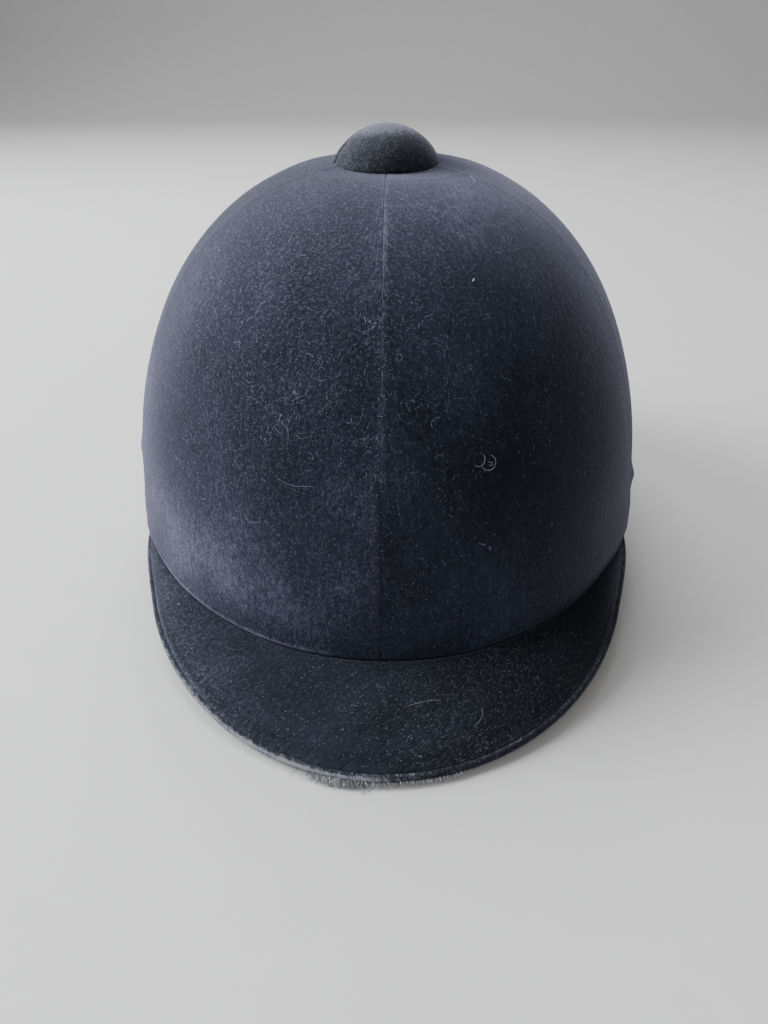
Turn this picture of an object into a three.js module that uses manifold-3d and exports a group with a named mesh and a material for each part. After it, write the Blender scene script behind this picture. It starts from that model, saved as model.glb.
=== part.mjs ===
// A velvet-covered riding hat with a crown button, a stiff peak and a chin harness.
// Millimetres. +Z is up, the peak points along -Y and the wearer's left is +X.
// The hat stands on its rear rim and on the front of its peak. Its buckled chin
// harness lies folded back inside the rim, and swings down about two pivot rivets.
import * as THREE from "three";
import { mergeVertices } from "three/addons/utils/BufferGeometryUtils.js";
import Module from "manifold-3d";

const wasm = await Module();
wasm.setup();

// ---- Driving dimensions ----

const GAP = 0.3; // clearance between pieces that touch

// Crown: an oval plan that narrows to the top.
const HALF_WIDTH = 102.5;
const FRONT_REACH = 116.4;
const REAR_REACH = 125.5;
const PLAN_POWER = 2.3;
const WIDEST_Z = 16.8;
const CROWN_TOP = 152;
const CROWN_RISE = CROWN_TOP - WIDEST_Z;
const ROUND_POWER = 2.57;
const RISE_POWER = 2.38;
const RIM_TUCK = 0.1; // share by which the crown would draw in 60 mm below its widest
const TUCK_DROP = 60;

// Rim height round the head, by angle from the front in degrees.
const RIM_FRONT_Z = 6;
const RIM_SIDE_Z = 22;
const SIDE_START = 70;
const SIDE_END = 115;
const REAR_START = 156;

// Depths below the outer velvet surface: each layer's outer and inner face.
const DEPTH = {
  velvet: [0, 1.2],
  shell: [1.5, 4.5],
  liner: [4.8, 20.3],
  headband: [20.6, 25.8],
  sweatband: [26.1, 27.1],
  crownLining: [20.6, 21.4],
  crownPad: [21.7, 27],
  rimTrim: [0.6, 4.65, 20.45, 26.5], // its folds lie under the joints between layers
};
const RIM_TRIM_HEIGHT = 1.2;

// Stations from the rim (0) to the crown's top (1), shared by all layers so that
// their facets stay parallel.
const HEADBAND_STATIONS = [0, 0.175];
const LINING_STATIONS = [0.19, 0.33, 0.47, 0.61, 0.74, 0.86, 0.96];
const LAYER_STATIONS = [...HEADBAND_STATIONS, ...LINING_STATIONS];
const STUD_HOLE_STATION = 0.993;
const PANELS = 6;
const COLUMNS_PER_PANEL = 5;
const SEAM_INSET = 0.15;

// Button and its fixings.
const BUTTON_RADIUS = 19.2;
const BUTTON_BASE_Z = 151.8;
const BUTTON_TOP_Z = 164.8;
const BUTTON_CLOTH = 1.2;
const BUTTON_HEM_RADIUS = 16;
const STUD_RADIUS = 2.2;
const STUD_HEAD_RADIUS = 5;
const STUD_BOTTOM_Z = 140.5;

// Peak.
const PEAK_CORNER = 58.4; // angle of its corners from the front, in degrees
const PEAK_CORNER_Y = -57.2;
const PEAK_HALF_WIDTH = 90;
const PEAK_REACH = 102.2; // from the corners to the front of the edge
const PEAK_PLAN_POWER = 1.073;
const PEAK_EDGE_Z = 2.15;
const PEAK_EDGE_RISE = 20.4;
const PEAK_RISE_POWER = 1.42;
const PEAK_BULGE = 1.5;
const PEAK_SEAT = 4.8; // height of its top surface above the rim, at the crown
const PEAK_TOP_OVER_EDGE = 2;
const PEAK_LAYERS = { cover: [0, 1], core: [1.3, 3], lining: [3.3, 4] };
const EDGE_RADIUS = 2.1;
const EDGE_TIP_RADIUS = 0.9;
const PEAK_SPAN = 0.88; // share of the corner-to-corner span that the layers fill
const EDGE_SPAN = 0.92;

// Harness: webbing on edge, in a loop round two straight runs and a chin bend.
const STRAP_X = 90.7;
const PIVOT_Y = -24;
const PIVOT_Z = 11;
const STRAP_THICKNESS = 1.4;
const STRAP_Z = [3.5, 18.5];
const RUN_START_Y = -14;
const CHIN_CENTRE = new THREE.Vector2(26, 34);
const CHIN_BEND_RADIUS = 40;
const CHIN_Y = CHIN_CENTRE.y + CHIN_BEND_RADIUS;
const BAR_RADIUS = 1.5;
const TURN_RADIUS = 2.5; // webbing centreline round a bar
const TAIL_OFFSET = 1.75; // turned-back webbing beside the run it is sewn to
const HANGER_X = [92.1, 93.6];
const HANGER_Z = [4, 49];
const HANGER_HALF_WIDTH = 7;
const SHELL_RIVET_Z = 42;
const RIVET_HEAD_RADIUS = 4.5;
const RIVET_HEAD = 1.2;
const RIVET_SEAT_X = 97.1; // inner face of the outer head, sunk in the shell
const RIVET_OUTER_HEAD = 0.7;

const LEFT = 1;
const RIGHT = -1;

// ---- Materials ----

const finish = (color, roughness, metalness = 0) =>
  new THREE.MeshStandardMaterial({ color, roughness, metalness });

const VELVET = finish(0x262a3a, 0.95);
const PEAK_VELVET = finish(0x1f2331, 0.95);
const SHELL = finish(0x2c2d30, 0.45);
const FOAM = finish(0xe8e6df, 0.9);
const SOFT_FOAM = finish(0x4a4b50, 0.95);
const BOARD = finish(0x3a3733, 0.8);
const SATIN = finish(0x171a26, 0.6);
const LEATHER = finish(0x2a2624, 0.6);
const WEBBING = finish(0x15161b, 0.85);
const PLASTIC = finish(0x17181b, 0.4);
const STEEL = finish(0xa9abad, 0.35, 1);
const RIBBON = finish(0x12151f, 0.5);

// ---- Closed meshes and booleans ----

const radians = THREE.MathUtils.degToRad;

function weld(geometry) {
  const bare = new THREE.BufferGeometry();
  bare.setAttribute("position", geometry.getAttribute("position"));
  bare.setIndex(geometry.getIndex());
  const merged = mergeVertices(bare);
  const kept = [];
  const corners = merged.getIndex().array;
  for (let i = 0; i < corners.length; i += 3) {
    const [a, b, c] = corners.slice(i, i + 3);
    if (a !== b && b !== c && c !== a) {
      kept.push(a, b, c);
    }
  }
  merged.setIndex(kept);
  return merged;
}

function signedVolume(geometry) {
  const position = geometry.getAttribute("position");
  const corners = geometry.getIndex().array;
  const [a, b, c] = [new THREE.Vector3(), new THREE.Vector3(), new THREE.Vector3()];
  let volume = 0;
  for (let i = 0; i < corners.length; i += 3) {
    a.fromBufferAttribute(position, corners[i]);
    b.fromBufferAttribute(position, corners[i + 1]);
    c.fromBufferAttribute(position, corners[i + 2]);
    volume += a.dot(b.cross(c)) / 6;
  }
  return volume;
}

function facingOut(geometry) {
  if (signedVolume(geometry) < 0) {
    geometry.setIndex([...geometry.getIndex().array].reverse());
  }
  return geometry;
}

function fromTriangles(points, triangles) {
  const geometry = new THREE.BufferGeometry().setFromPoints(points);
  geometry.setIndex(triangles);
  return facingOut(weld(geometry));
}

function toSolid(geometry) {
  const closed = weld(geometry);
  const vertProperties = new Float32Array(closed.getAttribute("position").array);
  const triVerts = new Uint32Array(closed.getIndex().array);
  return new wasm.Manifold(new wasm.Mesh({ numProp: 3, vertProperties, triVerts }));
}

function toGeometry(solid) {
  const mesh = solid.getMesh();
  const geometry = new THREE.BufferGeometry();
  geometry.setAttribute("position", new THREE.BufferAttribute(mesh.vertProperties, 3));
  geometry.setIndex(new THREE.BufferAttribute(mesh.triVerts, 1));
  return geometry;
}

function join(...geometries) {
  const solids = geometries.map(toSolid);
  return toGeometry(solids.reduce((whole, solid) => whole.add(solid)));
}

function cut(geometry, ...cutters) {
  const solids = cutters.map(toSolid);
  return toGeometry(solids.reduce((whole, solid) => whole.subtract(solid), toSolid(geometry)));
}

// A sheet with thickness between two grids of points, rows by columns. It is open at
// its sides, unless it goes all the way round, and may close to a point at its last row.
function sheetBetween(outer, inner, { round = false, pole = false } = {}) {
  const rows = outer.length;
  const columns = outer[0].length;
  const points = [...outer.flat(), ...inner.flat()];
  const at = (face, row, column) => (face * rows + row) * columns + (column % columns);
  const triangles = [];
  const quad = (a, b, c, d) => triangles.push(a, b, c, a, c, d);
  const lastColumn = round ? columns : columns - 1;
  for (let row = 0; row + 1 < rows; row += 1) {
    for (let column = 0; column < lastColumn; column += 1) {
      quad(at(0, row, column), at(0, row, column + 1), at(0, row + 1, column + 1), at(0, row + 1, column));
      quad(at(1, row, column), at(1, row + 1, column), at(1, row + 1, column + 1), at(1, row, column + 1));
    }
  }
  for (let column = 0; column < lastColumn; column += 1) {
    quad(at(0, 0, column), at(1, 0, column), at(1, 0, column + 1), at(0, 0, column + 1));
    if (!pole) {
      const end = rows - 1;
      quad(at(0, end, column), at(0, end, column + 1), at(1, end, column + 1), at(1, end, column));
    }
  }
  for (let row = 0; !round && row + 1 < rows; row += 1) {
    const side = columns - 1;
    quad(at(0, row, 0), at(0, row + 1, 0), at(1, row + 1, 0), at(1, row, 0));
    quad(at(0, row, side), at(1, row, side), at(1, row + 1, side), at(0, row + 1, side));
  }
  return fromTriangles(points, triangles);
}

// A solid through a row of rings, with a flat fan at each end.
function loft(rings) {
  const sides = rings[0].length;
  const points = rings.flat();
  const triangles = [];
  for (let ring = 0; ring + 1 < rings.length; ring += 1) {
    for (let side = 0; side < sides; side += 1) {
      const next = (side + 1) % sides;
      const [a, b] = [ring * sides + side, ring * sides + next];
      triangles.push(a, b, b + sides, a, b + sides, a + sides);
    }
  }
  const last = (rings.length - 1) * sides;
  for (let side = 1; side + 1 < sides; side += 1) {
    triangles.push(0, side + 1, side, last, last + side, last + side + 1);
  }
  return fromTriangles(points, triangles);
}

// A range of x on the wearer's left, or its mirror on the right.
const onSide = (side, [low, high]) => (side > 0 ? [low, high] : [-high, -low]);
const sideName = (side) => (side > 0 ? "left" : "right");

function box([x0, x1], [y0, y1], [z0, z1]) {
  const geometry = new THREE.BoxGeometry(x1 - x0, y1 - y0, z1 - z0);
  return geometry.translate((x0 + x1) / 2, (y0 + y1) / 2, (z0 + z1) / 2);
}

function rodAlongX(radius, [x0, x1], y, z, sides = 20) {
  const geometry = new THREE.CylinderGeometry(radius, radius, x1 - x0, sides).rotateZ(Math.PI / 2);
  return geometry.translate((x0 + x1) / 2, y, z);
}

function rodAlongZ(radius, [z0, z1], x = 0, y = 0, sides = 20) {
  const geometry = new THREE.CylinderGeometry(radius, radius, z1 - z0, sides).rotateX(Math.PI / 2);
  return geometry.translate(x, y, (z0 + z1) / 2);
}

// A plan outline raised between two heights.
function prism(outline, [z0, z1]) {
  const settings = { depth: z1 - z0, bevelEnabled: false, curveSegments: 8 };
  return new THREE.ExtrudeGeometry(new THREE.Shape(outline), settings).translate(0, 0, z0);
}

// A turned piece: its profile is a list of [radius, z].
function turned(profile, sides = 24) {
  const points = profile.map(([radius, z]) => new THREE.Vector2(radius, z));
  return facingOut(weld(new THREE.LatheGeometry(points, sides).rotateX(Math.PI / 2)));
}

// ---- The hat as a scene graph ----

const hat = new THREE.Group();

function add(name, geometry, material, parent = hat) {
  const mesh = new THREE.Mesh(geometry, material);
  mesh.name = name;
  parent.add(mesh);
}

// ---- The crown's surface ----

const fromFront = (azimuth) => Math.abs(THREE.MathUtils.euclideanModulo(azimuth + 180, 360) - 180);

function planRadius(azimuth) {
  const angle = radians(azimuth);
  const reach = Math.cos(angle) > 0 ? FRONT_REACH : REAR_REACH;
  const across = Math.abs(Math.sin(angle) / HALF_WIDTH) ** PLAN_POWER;
  const along = Math.abs(Math.cos(angle) / reach) ** PLAN_POWER;
  return (across + along) ** (-1 / PLAN_POWER);
}

function widthShare(z) {
  const rise = (z - WIDEST_Z) / CROWN_RISE;
  if (rise < 0) {
    return 1 - RIM_TUCK * ((z - WIDEST_Z) / TUCK_DROP) ** 2;
  }
  return Math.max(1 - rise ** RISE_POWER, 0) ** (1 / ROUND_POWER);
}

// Zero on the crown's surface and greater outside it.
function crownField(x, y, z) {
  const azimuth = THREE.MathUtils.radToDeg(Math.atan2(x, -y));
  const reach = Math.hypot(x, y) / planRadius(azimuth);
  if (z < WIDEST_Z) {
    return reach ** ROUND_POWER - 1;
  }
  return reach ** ROUND_POWER + ((z - WIDEST_Z) / CROWN_RISE) ** RISE_POWER - 1;
}

function crownNormal({ x, y, z }) {
  const step = 0.01;
  const slope = (dx, dy, dz) =>
    crownField(x + dx, y + dy, z + dz) - crownField(x - dx, y - dy, z - dz);
  return new THREE.Vector3(slope(step, 0, 0), slope(0, step, 0), slope(0, 0, step)).normalize();
}

function crownPoint(azimuth, z, depth) {
  const radius = planRadius(azimuth) * widthShare(z);
  const angle = radians(azimuth);
  const point = new THREE.Vector3(radius * Math.sin(angle), -radius * Math.cos(angle), z);
  return point.addScaledVector(crownNormal(point), -depth);
}

function rimHeight(azimuth) {
  const angle = fromFront(azimuth);
  if (angle < SIDE_END) {
    const rise = THREE.MathUtils.smoothstep(angle, 0, SIDE_START);
    return RIM_FRONT_Z + (RIM_SIDE_Z - RIM_FRONT_Z) * rise;
  }
  return RIM_SIDE_Z * (1 - THREE.MathUtils.smoothstep(angle, SIDE_END, REAR_START));
}

function stationHeight(azimuth, station) {
  const start = rimHeight(azimuth) + RIM_TRIM_HEIGHT + GAP;
  return start + (CROWN_TOP - start) * Math.sin((station * Math.PI) / 2);
}

function azimuths(from, to, count) {
  return Array.from({ length: count + 1 }, (_, i) => from + ((to - from) * i) / count);
}

const ALL_ROUND = azimuths(-180, 180, PANELS * COLUMNS_PER_PANEL).slice(0, -1);

function crownGrid(columns, stations, depth) {
  return stations.map((station) =>
    columns.map((azimuth) => crownPoint(azimuth, stationHeight(azimuth, station), depth)),
  );
}

function crownLayer([outer, inner], stations, options = {}) {
  const grid = (depth) => crownGrid(ALL_ROUND, stations, depth);
  return sheetBetween(grid(outer), grid(inner), { round: true, ...options });
}

// ---- Shell, liner, rim and lining ----

function addShell() {
  const bores = [LEFT, RIGHT].flatMap((side) => [
    rodAlongX(2.6, onSide(side, [90, 110]), PIVOT_Y, SHELL_RIVET_Z),
    rodAlongX(RIVET_HEAD_RADIUS + 0.4, onSide(side, [RIVET_SEAT_X - GAP, 110]), PIVOT_Y, SHELL_RIVET_Z),
  ]);
  const shell = crownLayer(DEPTH.shell, [...LAYER_STATIONS, STUD_HOLE_STATION]);
  add("crown_shell", cut(shell, ...bores), SHELL);
}

// One velvet panel between two seams; its sides stop short of the seam lines.
function velvetPanel(from, to) {
  const columns = azimuths(from, to, COLUMNS_PER_PANEL);
  const grid = (depth) =>
    crownGrid(columns, LAYER_STATIONS, depth).map((row) =>
      row.map((point, i) => {
        const inset = (i === 0 ? SEAM_INSET : 0) - (i === COLUMNS_PER_PANEL ? SEAM_INSET : 0);
        const angle = radians(columns[i]);
        return point.add(new THREE.Vector3(Math.cos(angle) * inset, Math.sin(angle) * inset, 0));
      }),
    );
  return sheetBetween(grid(DEPTH.velvet[0]), grid(DEPTH.velvet[1]));
}

function addVelvet() {
  const places = ["front", "side", "rear"];
  const width = 360 / PANELS;
  places.forEach((place, i) => {
    add(`velvet_${place}_left`, velvetPanel(i * width, (i + 1) * width), VELVET);
    add(`velvet_${place}_right`, velvetPanel(-(i + 1) * width, -i * width), VELVET);
  });
}

function addLiner() {
  const channels = [LEFT, RIGHT].map((side) =>
    box(onSide(side, [HANGER_X[0] - 1.9, 106]), [PIVOT_Y - 9, PIVOT_Y + 9], [0, HANGER_Z[1] + 2]),
  );
  add("eps_liner", cut(crownLayer(DEPTH.liner, LAYER_STATIONS), ...channels), FOAM);
}

function addRimTrim() {
  const face = (lift) =>
    DEPTH.rimTrim.map((depth) =>
      ALL_ROUND.map((azimuth) => crownPoint(azimuth, rimHeight(azimuth) + lift, depth)),
    );
  const slotX = [HANGER_X[0] - 0.6, HANGER_X[1] + 0.6];
  const slots = [LEFT, RIGHT].map((side) =>
    box(onSide(side, slotX), [PIVOT_Y - 7.6, PIVOT_Y + 7.6], [0, 40]),
  );
  add("rim_trim", cut(sheetBetween(face(RIM_TRIM_HEIGHT), face(0), { round: true }), ...slots), LEATHER);
}

function addInterior() {
  add("headband_foam", crownLayer(DEPTH.headband, HEADBAND_STATIONS), SOFT_FOAM);
  add("sweatband", crownLayer(DEPTH.sweatband, HEADBAND_STATIONS), LEATHER);
  const lining = crownLayer(DEPTH.crownLining, [...LINING_STATIONS, 1], { pole: true });
  add("crown_lining", lining, SATIN);
  const pad = crownLayer(DEPTH.crownPad, [...LINING_STATIONS.slice(-2), 1], { pole: true });
  add("crown_pad", pad, SOFT_FOAM);
}

// ---- Crown button ----

function capArc(radius, centreZ, fromZ, steps = 6) {
  const start = Math.acos(Math.min((fromZ - centreZ) / radius, 1));
  return azimuths(0, start, steps).map((angle) => [
    radius * Math.sin(angle),
    centreZ + radius * Math.cos(angle),
  ]);
}

function addButton() {
  const height = BUTTON_TOP_Z - BUTTON_BASE_Z;
  const radius = (BUTTON_RADIUS ** 2 + height ** 2) / (2 * height);
  const centreZ = BUTTON_TOP_Z - radius;
  const hemTop = BUTTON_BASE_Z + BUTTON_CLOTH;
  const coreBase = hemTop + GAP;
  const footZ = BUTTON_BASE_Z + 0.5;
  const inside = capArc(radius - BUTTON_CLOTH, centreZ, hemTop).reverse();
  const hem = [
    [BUTTON_HEM_RADIUS, BUTTON_BASE_Z],
    [BUTTON_HEM_RADIUS, hemTop],
  ];
  add("button_cover", turned([...capArc(radius, centreZ, BUTTON_BASE_Z), ...hem, ...inside]), VELVET);

  const recessTop = 155.3;
  const core = [
    ...capArc(radius - BUTTON_CLOTH - GAP, centreZ, coreBase),
    [BUTTON_HEM_RADIUS - 0.4, coreBase],
    [BUTTON_HEM_RADIUS - 0.4, footZ],
    [STUD_HEAD_RADIUS + GAP, footZ],
    [STUD_HEAD_RADIUS + GAP, recessTop],
    [0, recessTop],
  ];
  add("button_core", turned(core), BOARD);

  const headZ = [152.8, 154.9];
  const stud = join(
    rodAlongZ(STUD_RADIUS, [STUD_BOTTOM_Z, headZ[0] + 1], 0, 0, 16),
    rodAlongZ(STUD_HEAD_RADIUS, headZ, 0, 0, 24),
  );
  add("button_stud", stud, STEEL);
  const bore = rodAlongZ(STUD_RADIUS + GAP, [138, 150], 0, 0, 16);
  add("button_washer", cut(rodAlongZ(7, [146.2, 147.1], 0, 0, 24), bore), STEEL);
  add("button_nut", cut(rodAlongZ(4.6, [142.4, 145.9], 0, 0, 6), bore), STEEL);
}

// ---- Peak ----

// The line where the peak's top surface meets the crown, for a share from -1 to 1.
function peakSeat(share) {
  const azimuth = share * PEAK_CORNER;
  return crownPoint(azimuth, rimHeight(azimuth) + PEAK_SEAT, -GAP);
}

// The centreline of the peak's rolled edge.
function peakEdge(share) {
  const angle = share * (Math.PI / 2);
  const sine = Math.sin(angle);
  const cosine = Math.max(Math.cos(angle), 0);
  return new THREE.Vector3(
    PEAK_HALF_WIDTH * Math.sign(sine) * Math.abs(sine) ** PEAK_PLAN_POWER,
    PEAK_CORNER_Y - PEAK_REACH * cosine ** PEAK_PLAN_POWER,
    PEAK_EDGE_Z + PEAK_EDGE_RISE * (1 - cosine) ** PEAK_RISE_POWER,
  );
}

const edgeDirection = (share) => peakEdge(share + 0.01).sub(peakEdge(share - 0.01)).normalize();

const edgeRadius = (share) =>
  EDGE_RADIUS - (EDGE_RADIUS - EDGE_TIP_RADIUS) * Math.abs(share / EDGE_SPAN) ** 3;

function peakPoint(share, across, depth) {
  const seat = peakSeat(share);
  const along = edgeDirection(share);
  const inward = new THREE.Vector3(-along.y, along.x, 0).normalize();
  const rim = peakEdge(share).addScaledVector(inward, edgeRadius(share) + GAP);
  rim.z += PEAK_TOP_OVER_EDGE;
  const point = seat.lerp(rim, across);
  point.z += PEAK_BULGE * 4 * across * (1 - across) - depth;
  return point;
}

function addPeak() {
  const shares = azimuths(-PEAK_SPAN, PEAK_SPAN, 20);
  const steps = azimuths(0, 1, 4);
  const grid = (depth) => steps.map((across) => shares.map((share) => peakPoint(share, across, depth)));
  const layer = ([top, bottom]) => sheetBetween(grid(top), grid(bottom));
  add("peak_cover", layer(PEAK_LAYERS.cover), PEAK_VELVET);
  add("peak_core", layer(PEAK_LAYERS.core), BOARD);
  add("peak_lining", layer(PEAK_LAYERS.lining), LEATHER);

  const sides = 10;
  const rings = [-EDGE_SPAN, ...shares, EDGE_SPAN].map((share) => {
    const centre = peakEdge(share);
    const along = edgeDirection(share);
    const across = new THREE.Vector3(along.y, -along.x, 0).normalize();
    const up = new THREE.Vector3().crossVectors(across, along).normalize();
    return azimuths(0, 360, sides).slice(0, -1).map((turn) => {
      const angle = radians(turn + 180 / sides);
      const point = centre.clone().addScaledVector(across, edgeRadius(share) * Math.cos(angle));
      return point.addScaledVector(up, edgeRadius(share) * Math.sin(angle));
    });
  });
  add("peak_edge_binding", loft(rings), PEAK_VELVET);
}

// ---- Harness hangers and rivets ----

function addHangers() {
  [LEFT, RIGHT].forEach((side) => {
    const x = onSide(side, HANGER_X);
    const [low, high] = HANGER_Z;
    const corner = 2;
    const [y0, y1] = [PIVOT_Y - HANGER_HALF_WIDTH, PIVOT_Y + HANGER_HALF_WIDTH];
    const strap = join(box(x, [y0, y1], [low + corner, high]), box(x, [y0 + corner, y1 - corner], [low, high]));
    const holes = [
      rodAlongX(2.6, onSide(side, [88, 98]), PIVOT_Y, SHELL_RIVET_Z),
      rodAlongX(2.4, onSide(side, [88, 98]), PIVOT_Y, PIVOT_Z),
    ];
    add(`hanger_${sideName(side)}`, cut(strap, ...holes), WEBBING);
    const rivet = (shank, z, innerTop, outerSeat, outerHead) =>
      join(
        rodAlongX(shank, onSide(side, [innerTop - 0.7, outerSeat + outerHead / 2]), PIVOT_Y, z, 12),
        rodAlongX(RIVET_HEAD_RADIUS, onSide(side, [innerTop - RIVET_HEAD, innerTop]), PIVOT_Y, z),
        rodAlongX(RIVET_HEAD_RADIUS, onSide(side, [outerSeat, outerSeat + outerHead]), PIVOT_Y, z),
      );
    const shellRivet = rivet(2.2, SHELL_RIVET_Z, HANGER_X[0] - GAP, RIVET_SEAT_X, RIVET_OUTER_HEAD);
    add(`shell_rivet_${sideName(side)}`, shellRivet, STEEL);
    const strapFace = STRAP_X - STRAP_THICKNESS / 2;
    const pivotRivet = rivet(2, PIVOT_Z, strapFace - 0.4, HANGER_X[1] + GAP, RIVET_HEAD);
    add(`pivot_rivet_${sideName(side)}`, pivotRivet, STEEL);
  });
}

// ---- Harness webbing ----

const harness = new THREE.Group();
hat.add(harness);

const toChin = new THREE.Vector2(STRAP_X - CHIN_CENTRE.x, CHIN_CENTRE.y - RUN_START_Y);
const STRAP_LEAN = Math.atan2(toChin.x, toChin.y) - Math.asin(CHIN_BEND_RADIUS / toChin.length());
const RUN_LENGTH = Math.sqrt(toChin.lengthSq() - CHIN_BEND_RADIUS ** 2);

// A plan point beside a straight run: along it from its start, and out from its middle.
function runPoint(side, along, out) {
  const x = STRAP_X - Math.sin(STRAP_LEAN) * along + Math.cos(STRAP_LEAN) * out;
  const y = RUN_START_Y + Math.cos(STRAP_LEAN) * along + Math.sin(STRAP_LEAN) * out;
  return new THREE.Vector2(side * x, y);
}

// The webbing's half turn round a bar, from the run to the turned-back tail.
function turnRound(side, bar, forward) {
  return azimuths(0, 180, 8).map((turn) => {
    const angle = radians(turn);
    const along = bar + forward * TURN_RADIUS * Math.sin(angle);
    return runPoint(side, along, TURN_RADIUS * (1 - Math.cos(angle)));
  });
}

// A turned-back tail: off the bar, in to the run, and along it to its end.
function tail(side, bar, forward, end) {
  return [
    runPoint(side, bar - forward * 2, 2 * TURN_RADIUS),
    runPoint(side, bar - forward * 7, TAIL_OFFSET),
    runPoint(side, end, TAIL_OFFSET),
  ];
}

function chinBend(side) {
  return azimuths(0, 1, 8).map((share) => {
    const angle = STRAP_LEAN + (Math.PI / 2 - STRAP_LEAN) * share;
    const x = CHIN_CENTRE.x + CHIN_BEND_RADIUS * Math.cos(angle);
    return new THREE.Vector2(side * x, CHIN_CENTRE.y + CHIN_BEND_RADIUS * Math.sin(angle));
  });
}

function ribbonOutline(points, thickness) {
  const faces = points.map((point, i) => {
    const before = points[Math.max(i - 1, 0)];
    const after = points[Math.min(i + 1, points.length - 1)];
    const along = after.clone().sub(before).normalize();
    const across = new THREE.Vector2(-along.y, along.x).multiplyScalar(thickness / 2);
    return [point.clone().add(across), point.clone().sub(across)];
  });
  return [...faces.map((face) => face[0]), ...faces.map((face) => face[1]).reverse()];
}

const BUCKLE_BAR = 12;
const BUCKLE_REAR_BAR = 38.5;
const SLIDER_BARS = [12, 24];

function addStraps() {
  [LEFT, RIGHT].forEach((side) => {
    const bar = side === LEFT ? BUCKLE_BAR : SLIDER_BARS[0];
    const line = [
      new THREE.Vector2(side * STRAP_X, PIVOT_Y - 7),
      new THREE.Vector2(side * STRAP_X, PIVOT_Y + 7),
      runPoint(side, 3, 0),
      ...turnRound(side, bar, 1),
      ...tail(side, bar, 1, 1),
    ];
    const hole = rodAlongX(2.3, onSide(side, [86, 96]), PIVOT_Y, PIVOT_Z);
    const webbing = prism(ribbonOutline(line, STRAP_THICKNESS), STRAP_Z);
    add(`strap_short_${sideName(side)}`, cut(webbing, hole), WEBBING, harness);
  });
  const half = (side, bar, end) => [
    ...tail(side, bar, -1, end).reverse(),
    ...turnRound(side, bar, -1).reverse(),
    ...chinBend(side),
  ];
  const line = [...half(LEFT, BUCKLE_REAR_BAR, 53), ...half(RIGHT, SLIDER_BARS[1], 60).reverse()];
  add("strap_main", prism(ribbonOutline(line, STRAP_THICKNESS), STRAP_Z), WEBBING, harness);
}

// ---- Buckle, slider and keeper ----

// A group along each straight run: its X is along the run, and "out" is away from the head.
const runs = Object.fromEntries(
  [LEFT, RIGHT].map((side) => {
    const run = new THREE.Group();
    const start = runPoint(side, 0, 0);
    run.position.set(start.x, start.y, 0);
    run.rotation.z = Math.PI / 2 + side * STRAP_LEAN;
    harness.add(run);
    return [side, run];
  }),
);

const outRange = (side, [low, high]) => (side === LEFT ? [-high, -low] : [low, high]);
const runBlock = (side, along, out, z) => box(along, outRange(side, out), z);
const runBar = (side, along, z) => rodAlongZ(BAR_RADIUS, z, along, -side * TURN_RADIUS, 12);
const mirrored = ([low, high]) => [2 * PIVOT_Z - high, 2 * PIVOT_Z - low];

function addBuckle() {
  const block = (along, out, z) => runBlock(LEFT, along, out, z);
  const male = join(
    block([9, 18.7], [0.9, 4.1], [1.5, 3.2]),
    block([9, 18.7], [0.9, 4.1], [18.8, 20.5]),
    runBar(LEFT, BUCKLE_BAR, [2.5, 19.5]),
    block([15.5, 18.7], [0.3, 4.7], [1.5, 20.5]),
    block([18, 31.5], [1.4, 3.6], [8.5, 13.5]),
  );
  add("buckle_male", male, PLASTIC, runs[LEFT]);

  const [blade, catchZ] = [[16.9, 19.1], [16.9, 20.4]];
  const arm = (place) =>
    join(block([19.2, 31.5], [1.2, 3.8], place(blade)), block([22.4, 30.6], [1.2, 3.8], place(catchZ)));
  add("buckle_arm_upper", arm((z) => z), PLASTIC, runs[LEFT]);
  add("buckle_arm_lower", arm(mirrored), PLASTIC, runs[LEFT]);

  const female = join(
    block([19.4, 34.5], [-1.1, 6.1], [1, 21]),
    block([34, 40.5], [0.9, 4.1], [1, 3.2]),
    block([34, 40.5], [0.9, 4.1], [18.8, 21]),
    runBar(LEFT, BUCKLE_REAR_BAR, [2, 20]),
  );
  const hollow = block([19, 33], [0.9, 4.1], [2.6, 19.4]);
  const windows = block([22, 31], [0.9, 4.1], [0, 22]);
  add("buckle_female", cut(female, hollow, windows), PLASTIC, runs[LEFT]);
}

function addSlider() {
  const block = (along, out, z) => runBlock(RIGHT, along, out, z);
  const rails = [1.8, 3.2];
  const slider = join(
    block([9.5, 26.5], [1, 4], rails),
    block([9.5, 26.5], [1, 4], mirrored(rails)),
    block([16.5, 19.5], [1, 4], [2.5, 19.5]),
    ...SLIDER_BARS.map((bar) => runBar(RIGHT, bar, [2.5, 19.5])),
  );
  add("ladder_slider", slider, PLASTIC, runs[RIGHT]);
  const keeper = cut(
    block([44, 51], [-2.2, 3.95], [2, 20]),
    block([40, 55], [-1.1, 2.85], [3.1, 18.9]),
  );
  add("strap_keeper", keeper, PLASTIC, runs[RIGHT]);
}

// ---- Chin cup ----

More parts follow.
